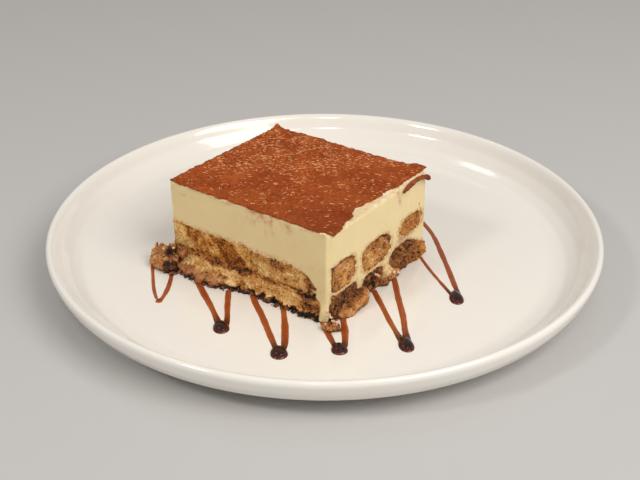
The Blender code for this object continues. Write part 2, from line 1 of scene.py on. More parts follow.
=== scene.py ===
"""The looks of a tiramisu slice on its coupe plate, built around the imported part.

Sizes are in millimetres and become metres where a mesh is made. +X runs along the sponge fingers,
the front cut face looks towards -Y and the right one towards +X. Every surface is a grid of points
worked out as whole arrays, and its colours are a point attribute worked out from the same points.
"""

import bpy
import numpy as np
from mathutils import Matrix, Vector


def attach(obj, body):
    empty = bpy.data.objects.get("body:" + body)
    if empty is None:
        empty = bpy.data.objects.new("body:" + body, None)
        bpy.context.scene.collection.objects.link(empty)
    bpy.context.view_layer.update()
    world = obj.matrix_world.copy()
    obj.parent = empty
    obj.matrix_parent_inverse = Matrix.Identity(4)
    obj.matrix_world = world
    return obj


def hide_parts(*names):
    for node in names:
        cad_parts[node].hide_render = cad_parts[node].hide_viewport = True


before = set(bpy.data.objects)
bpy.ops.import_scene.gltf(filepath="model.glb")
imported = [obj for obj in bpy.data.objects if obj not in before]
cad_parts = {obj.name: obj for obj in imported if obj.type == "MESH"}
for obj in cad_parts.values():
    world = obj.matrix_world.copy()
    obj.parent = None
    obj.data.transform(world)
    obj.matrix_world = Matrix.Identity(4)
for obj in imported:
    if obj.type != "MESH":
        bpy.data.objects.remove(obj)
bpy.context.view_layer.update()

MM = 0.001
TINT = "tint"
DAMP = "damp"

# The plate's well, the level that no crumb goes below, and the slice's base, top, layer line, cut faces
# and corners.
WELL_FLOOR = 7.0
LOWEST_CRUMB = WELL_FLOOR + 0.02
SLICE_BASE = 7.05
CREAM_TOP = 50.0
LAYER_LINE = 16.9
FRONT_Y, BACK_Y = -54.4, 25.0
LEFT_X, RIGHT_X = -50.3, 42.4
CORNERS = np.array([(-51.2, -54.4), (42.6, -54.4), (42.2, 25.2), (-49.8, 24.4)])
CORNER_RADII = (1.5, 4.0, 1.8, 1.5)
# The front right corner is cut off flat: the points of its two blunt edges.
FLAT_CORNER = 1
FLAT_CORNER_LINE = np.array([(39.4, -54.4), (39.75, -54.36), (40.1, -54.1), (41.2, -52.9), (42.1, -51.6),
                             (42.45, -50.4), (42.55, -49.2)])

# The fingers: where two of them meet end to end, how far a round end is drawn in, how square the section
# is, where the slumped one starts to sink and how far, and how far the front foot spreads at either end.
FINGER_SPLIT = -3.5
ROUND_END = 3.0
FULLNESS = 2.7
SLUMP_FROM, MOST_SLUMP = 8.0, 5.2
FRONT_SPREAD_LEFT, FRONT_SPREAD_RIGHT = 7.0, 3.4

# The plate's section, as radius and height, from the middle of its well round the rim to its underside.
PLATE_SECTION = np.array([
    (2.0, 7.0), (30.0, 7.0), (112.0, 7.0), (118.6, 7.7), (124.0, 10.6), (128.4, 15.4), (131.0, 20.8),
    (132.7, 22.6), (134.6, 22.2), (135.2, 20.4), (133.8, 15.5), (131.0, 11.0), (125.5, 6.9),
    (116.0, 3.9), (90.0, 2.5), (88.0, -0.1), (84.0, -0.1), (82.0, 2.3), (30.0, 2.4), (2.0, 2.4),
])
PLATE_STEP, PLATE_BLUR = 0.2, 20
PLATE_RINGS, PLATE_TURNS = 190, 288

# The light and the camera, in metres. Each lamp: its name, place, aim, size, watts and colour.
WARM_LIGHT, SOFT_LIGHT = (1.0, 0.97, 0.93), (1.0, 0.98, 0.95)
ROOM_STRENGTH = 0.39
LAMPS = (
    ("key_softbox", (0.86, -0.1, 0.9), (0.0, 0.0, 0.03), 0.75, 8.8, WARM_LIGHT),
    ("left_lamp", (-0.3, -0.85, 0.85), (0.0, -0.05, 0.02), 0.18, 2.7, WARM_LIGHT),
    ("right_lamp", (0.5, -0.75, 1.15), (0.0, -0.05, 0.02), 0.16, 1.3, WARM_LIGHT),
    ("ceiling_panel_left", (-0.64, 0.27, 1.05), (-0.64, 0.27, 0.0), 0.15, 0.32, SOFT_LIGHT),
    ("ceiling_panel_right", (-0.06, 0.41, 1.16), (-0.06, 0.41, 0.0), 0.15, 0.32, SOFT_LIGHT),
)
CAMERA_PLACE = (0.281261, -0.390792, 0.280736)
CAMERA_HEADING = (-0.51267, 0.70537, -0.48951)
LENS, SENSOR = 62.2, 36.0
FLOOR_HALF, FLOOR_COLOUR, FLOOR_ROUGHNESS = 3.0, (0.56, 0.55, 0.54, 1.0), 0.8


# Small tools: colours, smooth steps and noise.

def screen(*values):
    """The linear colour of three screen values from 0 to 255."""
    share = np.array(values) / 255.0
    return np.where(share <= 0.04045, share / 12.92, ((share + 0.055) / 1.055) ** 2.4)


def smoothstep(value, low, high):
    """Goes smoothly from 0 at low to 1 at high."""
    share = np.clip((value - low) / (high - low), 0.0, 1.0)
    return share * share * (3.0 - 2.0 * share)


def bump(distance):
    """A round hill of height 1 where distance is 0."""
    return np.exp(-distance * distance)


def mix(first, second, share):
    """First where share is 0, second where it is 1; the last axis is the colour."""
    return first + (second - first) * np.asarray(share)[..., None]


def mix_value(first, second, share):
    """First where share is 0, second where it is 1."""
    return first + (second - first) * share


def ramp(value, steps, colours):
    """The colour for each value, on straight lines between the colours that are given at steps."""
    return np.stack([np.interp(value, steps, colours[:, channel]) for channel in range(3)], axis=-1)


def cell_number(cells, seed):
    """A random number from 0 to 1 for each cell of a lattice, mixed from its three whole indices."""
    mixed = cells[..., 0] * 73856093 ^ cells[..., 1] * 19349663 ^ cells[..., 2] * 83492791
    mixed = (mixed ^ (seed * 40503 + 977)) & 0xFFFFFFFF
    for _ in range(2):
        mixed = ((mixed ^ (mixed >> 16)) * 0x45D9F3B) & 0xFFFFFFFF
    return ((mixed ^ (mixed >> 16)) & 0xFFFFFF) / float(0xFFFFFF)


def soft_noise(points, size, seed):
    """Value noise from -1 to 1: the random numbers of the eight nearest lattice cells, blended smoothly."""
    place = points / size
    cell = np.floor(place).astype(np.int64)
    share = place - cell
    share = share * share * (3.0 - 2.0 * share)
    total = np.zeros(points.shape[:-1])
    for corner in np.ndindex(2, 2, 2):
        offset = np.array(corner)
        weight = np.where(offset, share, 1.0 - share).prod(axis=-1)
        total += weight * cell_number(cell + offset, seed)
    return 2.0 * total - 1.0


def rough_noise(points, size, seed, octaves=3):
    """Soft noise added to itself at half the size and half the height, octaves times."""
    total, height, whole = 0.0, 1.0, 0.0
    for octave in range(octaves):
        total = total + height * soft_noise(points + 17.3 * octave, size, seed + octave)
        whole += height
        size, height = size * 0.5, height * 0.5
    return total / whole * 1.5


def nearest_cell(points, size, seed):
    """The distance to the nearest of the scattered centres, one in each lattice cell, in cells, and
    that centre's own random number."""
    place = points / size
    cell = np.floor(place).astype(np.int64)
    best = np.full(points.shape[:-1], 9.0)
    number = np.zeros(points.shape[:-1])
    for corner in np.ndindex(3, 3, 3):
        here = cell + (np.array(corner) - 1)
        centre = here + np.stack([cell_number(here, seed + k) for k in (1, 2, 3)], axis=-1)
        distance = np.linalg.norm(centre - place, axis=-1)
        closer = distance < best
        best = np.where(closer, distance, best)
        number = np.where(closer, cell_number(here, seed + 4), number)
    return best, number


def crumb_relief(points, seed, coarse=1.0):
    """An open crumb: how far the surface is lifted, in mm, and how deep in a pore each point is, 0 to 1.

    Rough noise, less pores of two sizes round scattered centres. The points are first bent by noise, so
    that the pores come out torn and not round. coarse scales both the pores and their depth.
    """
    bend = np.stack([soft_noise(points, 1.1 * coarse, seed + 30 + k) for k in range(3)], axis=-1)
    bent = points + 0.6 * coarse * bend
    near, number = nearest_cell(bent, 1.25 * coarse, seed)
    pore = smoothstep(0.26 + 0.32 * number - near, 0.0, 0.22) * (number > 0.34)
    fine = smoothstep(soft_noise(bent, 0.5 * coarse, seed + 11), 0.3, 0.8)
    tufts = rough_noise(points, 2.4 * coarse, seed + 21, 4)
    lift = coarse * (0.5 * tufts + 0.22 * soft_noise(bent, 0.6, seed + 22) - 0.55 * pore - 0.3 * fine)
    return lift, np.clip(0.8 * pore + 0.6 * fine - 0.2 * tufts, 0.0, 1.0)


# Meshes from grids.

def round_grid(levels, turns):
    """Latitude and longitude over a ball, short of its poles: the two angles and the unit directions."""
    lift = np.linspace(-1.5, 1.5, levels)[:, None]
    turn = np.linspace(0.0, 2.0 * np.pi, turns, endpoint=False)[None, :]
    heading = np.stack([np.cos(turn) * np.cos(lift), np.sin(turn) * np.cos(lift), np.sin(lift) + 0.0 * turn],
                       axis=-1)
    return lift, turn, heading


def grid_normals(grid):
    """Unit directions square to a grid that is closed around its second axis, pointing outwards."""
    along = np.gradient(grid, axis=0)
    around = np.roll(grid, -1, axis=1) - np.roll(grid, 1, axis=1)
    square = np.cross(around, along)
    square /= np.linalg.norm(square, axis=-1, keepdims=True) + 1e-9
    outwards = grid - grid.mean(axis=(0, 1))
    return square if (square * outwards).sum() > 0.0 else -square


def closed_part(grid, tint, damp, start_pole=None, end_pole=None):
    """One closed skin: the grid's rings, a fan to a pole at each end, and every point's tint and damp."""
    rings, around = grid.shape[:2]
    start_pole = grid[0].mean(axis=0) if start_pole is None else np.array(start_pole)
    end_pole = grid[-1].mean(axis=0) if end_pole is None else np.array(end_pole)
    points = np.concatenate([grid.reshape(-1, 3), [start_pole], [end_pole]])
    colours = np.concatenate([tint.reshape(-1, 3), [tint[0].mean(axis=0)], [tint[-1].mean(axis=0)]])
    wet = np.concatenate([damp.ravel(), [damp[0].mean()], [damp[-1].mean()]])
    ring, step = np.meshgrid(np.arange(rings - 1), np.arange(around), indexing="ij")
    beside = (step + 1) % around
    quads = np.stack([ring * around + step, ring * around + beside,
                      (ring + 1) * around + beside, (ring + 1) * around + step], axis=-1).reshape(-1, 4)
    step = np.arange(around)
    beside = (step + 1) % around
    first, last = rings * around, rings * around + 1
    low = np.column_stack([np.full(around, first), beside, step])
    high = np.column_stack([np.full(around, last), step + first - around, beside + first - around])
    return points, quads, np.concatenate([low, high]), colours, wet


def outward_faces(points, quads, triangles):
    """The faces, turned over if the volume that they enclose comes out negative."""
    corners = points[np.concatenate([quads[:, [0, 1, 2]], quads[:, [0, 2, 3]], triangles])]
    volume = np.einsum("ij,ij->i", corners[:, 0], np.cross(corners[:, 1], corners[:, 2])).sum()
    return (quads, triangles) if volume > 0.0 else (quads[:, ::-1], triangles[:, ::-1])


def put_tint(mesh, tint):
    """The mesh's colour attribute, from the linear colour of each point."""
    rgba = np.column_stack([np.clip(tint, 0.0, 1.0), np.ones(len(tint))]).astype(np.float32)
    mesh.color_attributes.new(TINT, "FLOAT_COLOR", "POINT").data.foreach_set("color", rgba.ravel())


def mesh_piece(name, parts, material, nodes=()):
    """A finished piece from closed parts: its mesh, attributes, material, body and CAD nodes."""
    all_points, all_quads, all_triangles, colours, wet, start = [], [], [], [], [], 0
    for points, quads, triangles, tint, damp in parts:
        quads, triangles = outward_faces(points, quads, triangles)
        all_points.append(points)
        all_quads.append(quads + start)
        all_triangles.append(triangles + start)
        colours.append(tint)
        wet.append(damp)
        start += len(points)
    points = np.concatenate(all_points) * MM
    quads, triangles = np.concatenate(all_quads), np.concatenate(all_triangles)
    mesh = bpy.data.meshes.new(name)
    mesh.vertices.add(len(points))
    mesh.vertices.foreach_set("co", points.ravel().astype(np.float32))
    mesh.loops.add(4 * len(quads) + 3 * len(triangles))
    corners = np.concatenate([quads.ravel(), triangles.ravel()])
    mesh.loops.foreach_set("vertex_index", corners.astype(np.int32))
    mesh.polygons.add(len(quads) + len(triangles))
    starts = np.concatenate([4 * np.arange(len(quads)), 4 * len(quads) + 3 * np.arange(len(triangles))])
    mesh.polygons.foreach_set("loop_start", starts.astype(np.int32))
    mesh.update(calc_edges=True)
    mesh.shade_smooth()
    put_tint(mesh, np.concatenate(colours))
    damp_values = np.concatenate(wet).astype(np.float32)
    mesh.attributes.new(DAMP, "FLOAT", "POINT").data.foreach_set("value", damp_values)
    piece = bpy.data.objects.new(name, mesh)
    bpy.context.scene.collection.objects.link(piece)
    mesh.materials.append(material)
    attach(piece, "root")
    if nodes:
        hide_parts(*nodes)
    return piece


def resampled(line, density, count):
    """A closed line of points set again at count even steps of its own length times density."""
    closed = np.concatenate([line, line[:1]])
    weight = np.concatenate([density, density[:1]])
    pace = np.linalg.norm(np.diff(closed, axis=0), axis=1) * 0.5 * (weight[1:] + weight[:-1])
    place = np.concatenate([[0.0], np.cumsum(pace)])
    wanted = np.linspace(0.0, place[-1], count, endpoint=False)
    return np.column_stack([np.interp(wanted, place, closed[:, axis]) for axis in range(closed.shape[1])])


# Materials.

def add_node(tree, kind, **sockets):
    """A shader node with some of its sockets set by name; a number or a colour is a value, the rest links."""
    node = tree.nodes.new(kind)
    for label, value in sockets.items():
        socket = node.inputs[label.replace("_", " ")]
        if isinstance(value, bpy.types.NodeSocket):
            tree.links.new(value, socket)
        else:
            socket.default_value = value
    return node


def blended(tree, mode, share, first, second):
    """A colour mix node's result, with share, first and second each a value or a link."""
    node = tree.nodes.new("ShaderNodeMix")
    node.data_type, node.blend_type = "RGBA", mode
    for index, value in ((0, share), (6, first), (7, second)):
        if isinstance(value, bpy.types.NodeSocket):
            tree.links.new(value, node.inputs[index])
        else:
            node.inputs[index].default_value = value
    return node.outputs[2]


def noise_band(tree, place, scale, low, high, detail=4.0):
    """Noise on object coordinates at scale, brought to run from low to high."""
    noise = add_node(tree, "ShaderNodeTexNoise", Vector=place, Scale=scale, Detail=detail)
    spread = tree.nodes.new("ShaderNodeMapRange")
    tree.links.new(noise.outputs["Fac"], spread.inputs["Value"])
    for label, value in (("From Min", 0.3), ("From Max", 0.7), ("To Min", low), ("To Max", high)):
        spread.inputs[label].default_value = value
    return spread.outputs["Result"]


def grey(tree, value):
    """A colour with the same number in each channel."""
    return add_node(tree, "ShaderNodeCombineColor", Red=value, Green=value, Blue=value).outputs["Color"]


def food_finish(name, roughness, mottle, grain, bump_scale, bump_height, damp_shine=0.0, **shader_values):
    """A finish whose colour is the piece's tint, times a coarse and a fine noise on object coordinates.

    roughness is the dry value, damp_shine how much the damp attribute takes off it. mottle and grain are
    (scale, low, high) for the two noises. The bump's noise has bump_scale, and stands bump_height mm.
    """
    material = bpy.data.materials.new(name)
    material.use_nodes = True
    tree = material.node_tree
    shader = tree.nodes["Principled BSDF"]
    place = tree.nodes.new("ShaderNodeTexCoord").outputs["Object"]
    tint = tree.nodes.new("ShaderNodeVertexColor")
    tint.layer_name = TINT
    colour = tint.outputs["Color"]
    for noise in (mottle, grain):
        colour = blended(tree, "MULTIPLY", 1.0, colour, grey(tree, noise_band(tree, place, *noise)))
    tree.links.new(colour, shader.inputs["Base Color"])
    if damp_shine:
        damp = tree.nodes.new("ShaderNodeAttribute")
        damp.attribute_name = DAMP
        shine = tree.nodes.new("ShaderNodeMapRange")
        tree.links.new(damp.outputs["Fac"], shine.inputs["Value"])
        shine.inputs["To Min"].default_value = roughness
        shine.inputs["To Max"].default_value = roughness - damp_shine
        tree.links.new(shine.outputs["Result"], shader.inputs["Roughness"])
    else:
        shader.inputs["Roughness"].default_value = roughness
    lumps = add_node(tree, "ShaderNodeTexNoise", Vector=place, Scale=bump_scale, Detail=5.0)
    raised = add_node(tree, "ShaderNodeBump", Height=lumps.outputs["Fac"], Distance=bump_height * MM)
    tree.links.new(raised.outputs["Normal"], shader.inputs["Normal"])
    for label, value in shader_values.items():
        shader.inputs[label.replace("_", " ")].default_value = value
    return material


def make_finishes():
    """Every finish of the part, by name."""
    return {
        "glaze": food_finish("warm_white_glaze", 0.14, (9.0, 0.985, 1.0), (60.0, 0.992, 1.0), 30.0, 0.02,
                             Coat_Weight=0.5, Coat_Roughness=0.05),
        "cream": food_finish("mascarpone_cream", 0.5, (70.0, 0.965, 1.02), (900.0, 0.985, 1.01), 500.0, 0.1,
                             Subsurface_Weight=0.2, Subsurface_Radius=(1.0, 0.6, 0.3),
                             Subsurface_Scale=0.0012, Specular_IOR_Level=0.35),
        "cocoa": food_finish("dusted_cocoa", 1.0, (120.0, 0.9, 1.06), (1500.0, 0.82, 1.12), 1700.0, 0.22,
                             Specular_IOR_Level=0.08),
        "sponge": food_finish("sponge_crumb", 0.9, (420.0, 0.92, 1.1), (1700.0, 0.78, 1.2), 1500.0, 0.3,
                              damp_shine=0.35, Specular_IOR_Level=0.22),
        "syrup": food_finish("coffee_syrup", 0.05, (160.0, 0.9, 1.06), (700.0, 0.97, 1.02), 200.0, 0.02,
                             Specular_IOR_Level=0.3, Coat_Weight=0.25, Coat_Roughness=0.02),
    }


# The plate.

def make_plate(finish):
    """The coupe plate: its rounded section turned about the upright axis.

    The section's corners are joined by straight lines, set again at short steps and smoothed by a mean
    along the line, which rounds the lip and the foot. Points are closer together where it bends.
    """
    pace = np.concatenate([[0.0], np.cumsum(np.linalg.norm(np.diff(PLATE_SECTION, axis=0), axis=1))])
    fine = np.arange(0.0, pace[-1], PLATE_STEP)
    line = np.column_stack([np.interp(fine, pace, PLATE_SECTION[:, axis]) for axis in (0, 1)])
    kernel = np.exp(-0.5 * (np.arange(-PLATE_BLUR, PLATE_BLUR + 1) * PLATE_STEP) ** 2)
    kernel /= kernel.sum()
    padded = np.pad(line, ((PLATE_BLUR, PLATE_BLUR), (0, 0)), mode="edge")
    line = np.column_stack([np.convolve(padded[:, axis], kernel, mode="valid") for axis in (0, 1)])
    bends = (line[:, 0] > 108.0) | ((line[:, 0] > 78.0) & (line[:, 0] < 93.0) & (line[:, 1] < 5.0))
    place = np.cumsum(np.where(bends, 1.0, 0.12))
    wanted = np.linspace(place[0], place[-1], PLATE_RINGS)
    radius, height = (np.interp(wanted, place, line[:, axis]) for axis in (0, 1))
    height = np.maximum(height, 0.0)
    turn = np.linspace(0.0, 2.0 * np.pi, PLATE_TURNS, endpoint=False)
    grid = np.stack([radius[:, None] * np.cos(turn), radius[:, None] * np.sin(turn),
                     height[:, None] + 0.0 * turn], axis=-1)
    tint = np.broadcast_to(screen(246, 241, 233), grid.shape).copy()
    part = closed_part(grid, tint, np.zeros(grid.shape[:2]), (0.0, 0.0, height[0]), (0.0, 0.0, height[-1]))
    return mesh_piece("coupe_plate", [part], finish, ["plate"])


# The fingers.

def layer_line(x):
    """The height where the upper fingers press on the lower ones; it rises to the right."""
    return LAYER_LINE + 1.9 * smoothstep(x, 26.0, 42.0)


def front_face(x, z):
    """The front cut face's Y: upright over the upper layer, spread out below it."""
    spread = FRONT_SPREAD_RIGHT + (FRONT_SPREAD_LEFT - FRONT_SPREAD_RIGHT) * (
        smoothstep(-x, 0.0, 22.0) * (1.0 - 0.45 * smoothstep(-x, 36.0, 50.0)))
    low = np.clip((LAYER_LINE - z) / (LAYER_LINE - SLICE_BASE), 0.0, 1.0)
    return FRONT_Y - spread * low ** 0.8


def corner_cover(x, z):
    """How thick the cream over the right ends of the front fingers is, 0 where they are bare."""
    beyond = np.maximum(x - 26.0, 0.0)
    upper = np.hypot(beyond / 8.0, (z - 21.0) / 12.0)
    lower = np.hypot(beyond / 10.4, (z - 9.5) / 10.0)
    edge = np.interp(x, (8.0, 20.0, 26.0, 30.0, 34.0), (32.5, 29.4, 27.6, 25.8, 21.5))
    above = 1.0 + (z - edge) / 4.0
    outside = np.minimum(np.maximum(upper, above), lower) - 1.0
    return np.where(x > 8.0, 1.9 * smoothstep(outside, 0.0, 0.3), 0.0)


# Each finger: its span along X and which of its ends are round, its middle's Y and its Z at both ends, its
# half width and half height, the layer and faces that it belongs to, and its noise's seed. One that lies
# free in the cream has no flat base. beside is the Y where a neighbour cuts it off, lean is how far it
# stands askew and slump how steeply its end has sunk.
FINGERS = {
    "upper_front_left": dict(span=(LEFT_X, FINGER_SPLIT + 0.2), ends=(False, True), y=-45.0,
                             z=(23.6, 23.9), wide=13.5, high=7.0, upper=True, front=True, seed=31),
    "upper_front_right": dict(span=(FINGER_SPLIT - 0.2, RIGHT_X), ends=(True, False), y=-45.0,
                              z=(23.9, 27.6), wide=10.4, high=7.4, upper=True, front=True, seed=32),
    "upper_middle": dict(span=(LEFT_X, RIGHT_X), ends=(False, False), y=-17.8, z=(25.5, 26.2), wide=12.0,
                         high=7.4, upper=True, seed=33),
    "upper_back_left": dict(span=(LEFT_X, FINGER_SPLIT + 0.2), ends=(False, True), y=17.2,
                            z=(25.6, 26.0), wide=13.0, high=6.8, upper=True, back=True, seed=34),
    "upper_back_right": dict(span=(FINGER_SPLIT - 0.2, RIGHT_X), ends=(True, False), y=12.6,
                             z=(26.8, 28.4), wide=10.2, high=5.0, lean=-1.5, free=True, seed=35),
    "lower_front_left": dict(span=(LEFT_X, FINGER_SPLIT + 0.2), ends=(False, True), y=-46.5,
                             z=(12.0, 12.0), wide=19.0, high=9.0, beside=-33.2, front=True, seed=41),
    "lower_front_right": dict(span=(FINGER_SPLIT - 0.2, RIGHT_X), ends=(True, False), y=-46.5,
                              z=(12.0, 13.2), wide=15.0, high=9.0, beside=-33.8, front=True, seed=42),
    "lower_middle": dict(span=(LEFT_X, RIGHT_X), ends=(False, False), y=-20.5, z=(12.0, 12.6), wide=9.0,
                         high=5.6, seed=43),
    "lower_back_left": dict(span=(LEFT_X, FINGER_SPLIT + 0.2), ends=(False, True), y=10.0,
                            z=(12.0, 12.0), wide=17.5, high=8.0, back=True, seed=44),
    "lower_back_right": dict(span=(FINGER_SPLIT - 0.2, RIGHT_X), ends=(True, False), y=9.4,
                             z=(12.6, 13.8), wide=17.0, high=7.4, back=True, slump=0.45, seed=45),
}


def slump_drop(finger, x, y):
    """How far the back of a slumped finger's right end has sunk, in mm."""
    drop = np.minimum(finger.get("slump", 0.0) * np.maximum(y - SLUMP_FROM, 0.0), MOST_SLUMP)
    return drop * smoothstep(x, 15.0, 40.0)


def finger_section(finger, x):
    """The middle's Y and Z and the half width and half height of a finger at each x.

    The middle rises smoothly along the finger. The section shrinks as a superellipse towards a round end.
    """
    low, high = finger["span"]
    share = (x - low) / (high - low)
    middle_y = finger["y"] + finger.get("lean", 0.0) * (share - 0.5)
    middle_z = finger["z"][0] + (finger["z"][1] - finger["z"][0]) * smoothstep(share, 0.3, 1.0)
    full = np.ones_like(x)
    for is_round, distance in zip(finger["ends"], (x - low, high - x)):
        if is_round:
            near = np.clip(1.0 - distance / ROUND_END, 0.0, 0.66)
            full = full * (1.0 - near ** FULLNESS) ** (1.0 / FULLNESS)
    return middle_y, middle_z, finger["wide"] * full, finger["high"] * full


def low_stretch(finger, x):
    """How much taller a settled upper finger is below its middle; its right end stays round."""
    return 2.2 - 1.2 * smoothstep(x, 28.0, 40.0) if finger.get("upper") else 1.0


def depth_in_finger(finger, points):
    """How far inside a finger's outline each point is, in mm, negative outside."""
    x, y = points[..., 0], points[..., 1]
    middle_y, middle_z, wide, high = finger_section(finger, x)
    height_share = np.clip((points[..., 2] - SLICE_BASE) / (middle_z - SLICE_BASE), 0.0, 1.0)
    z = points[..., 2] + slump_drop(finger, x, y) * height_share
    high = np.where(z < middle_z, low_stretch(finger, x) * high, high)
    reach = np.abs((y - middle_y) / wide) ** FULLNESS + np.abs((z - middle_z) / high) ** FULLNESS
    depth = (1.0 - reach ** (1.0 / FULLNESS)) * np.minimum(wide, high)
    if "beside" in finger:
        depth = np.minimum(depth, finger["beside"] - y)
    if finger.get("upper"):
        depth = np.minimum(depth, z - layer_line(x) + 1.6 * smoothstep(-y, 50.0, 52.0))
    elif not finger.get("free") and "slump" not in finger:
        depth = np.minimum(depth, layer_line(x) + 0.2 - z + 1.4 * smoothstep(-y, 50.0, 52.0))
    low, high_x = finger["span"]
    return np.minimum(depth, np.minimum(x - low, high_x - x) + 2.0)


def finger_skin(finger, step, angles=720):
    """A finger's bare skin as rings of points along X.

    At each angle about the section's middle, the distance is a superellipse's, cut short by the finger's
    base, ceiling, neighbour and cut faces. Each ring is set again at even steps, closer on a cut side.
    """
    low, high = finger["span"]
    cut_side = finger.get("front") or finger.get("back")
    x = np.linspace(low, high, int((high - low) / (step if cut_side else 2.0)) + 1)[:, None]
    turn = np.linspace(0.0, 2.0 * np.pi, angles, endpoint=False)[None, :] + 0.01
    cosine, sine = np.cos(turn), np.sin(turn)
    middle_y, middle_z, wide, half_high = finger_section(finger, x)
    tall = np.where(sine < 0.0, low_stretch(finger, x) * half_high, half_high)
    reach = (np.abs(cosine / wide) ** FULLNESS + np.abs(sine / tall) ** FULLNESS) ** (-1.0 / FULLNESS)
    if not finger.get("free"):
        base = layer_line(x) - 0.2 if finger.get("upper") else SLICE_BASE
        reach = np.minimum(reach, (base - middle_z) / np.minimum(sine, -1e-6))
    if not (finger.get("upper") or finger.get("free") or "slump" in finger):
        reach = np.minimum(reach, (layer_line(x) - middle_z) / np.maximum(sine, 1e-6))
    if "beside" in finger:
        reach = np.minimum(reach, (finger["beside"] - middle_y) / np.maximum(cosine, 1e-6))
    if finger.get("front"):
        ahead = np.minimum(cosine, -0.02)
        face_z = middle_z + (FRONT_Y - middle_y) * sine / ahead
        cut = (front_face(x, face_z) + corner_cover(x, face_z) - middle_y) / ahead
        reach = np.where((cosine < -0.02) & (cut < reach), cut, reach)
    if finger.get("back"):
        behind = np.maximum(cosine, 0.02)
        cut = (BACK_Y - 0.1 - middle_y) / behind
        reach = np.where((cosine > 0.02) & (cut < reach), cut, reach)
    points = np.stack([x + 0.0 * reach, middle_y + reach * cosine, middle_z + reach * sine], axis=-1)
    height_share = np.clip((points[..., 2] - SLICE_BASE) / (middle_z - SLICE_BASE), 0.0, 1.0)
    points[..., 2] -= slump_drop(finger, points[..., 0], points[..., 1]) * height_share
    shown = np.zeros(points.shape[:2])
    if finger.get("front"):
        shown = smoothstep(-points[..., 1], 48.0, 52.0)
    if finger.get("back"):
        shown = smoothstep(points[..., 1], 19.0, 23.0)
    around = 200 if cut_side else 160
    return np.array([resampled(ring, 0.25 + 0.75 * weight, around) for ring, weight in zip(points, shown)])


def face_end(ring, count):
    """The rings that fill a finger's end: the ring shrunk evenly towards its middle."""
    middle = ring.mean(axis=0)
    shares = np.linspace(1.0, 0.03, count + 1)[1:]
    return middle + (ring - middle)[None] * shares[:, None, None]


def end_bulge(name, points):
    """How far a lower finger's right end is pressed out of the face, as round hills over Y and Z."""
    y, z = points[..., 1], points[..., 2]
    if name == "lower_front_right":
        return 2.6 * bump((y + 42.0) / 8.0) * bump((z - 9.0) / 5.0)
    if name == "lower_middle":
        return 1.0 * bump((y + 22.0) / 9.0) * bump((z - 9.5) / 5.0)
    if name == "lower_back_right":
        return 0.6 + 1.6 * bump((y - 17.0) / 8.0) * bump((z - 10.0) / 6.0)
    return np.zeros(points.shape[:-1])


def hill(value, middle, width):
    """A hill with a flat top: 1 within the width's inner half, 0 outside the width."""
    return 1.0 - smoothstep(np.abs(value - middle), 0.6 * width, 1.2 * width)


# The crumb's colours from dry to soaked through.
SOAK_STEPS = (0.0, 0.2, 0.45, 0.7, 0.88, 1.0)
SOAK_COLOURS = np.array([screen(240, 208, 150), screen(216, 170, 104), screen(186, 124, 62),
                         screen(142, 86, 44), screen(84, 50, 32), screen(30, 18, 13)])
# What the upper front left finger's crumb is multiplied by where it is dry and where it is soaked.
PALE_GOLD, DEEP_GOLD = np.array([1.02, 0.95, 0.8]), np.array([0.88, 0.73, 0.42])


def soaked_colour(soak):
    """The crumb's colour for how much coffee it holds, from 0 to 1."""
    return ramp(np.clip(soak, 0.0, 1.0), SOAK_STEPS, SOAK_COLOURS)


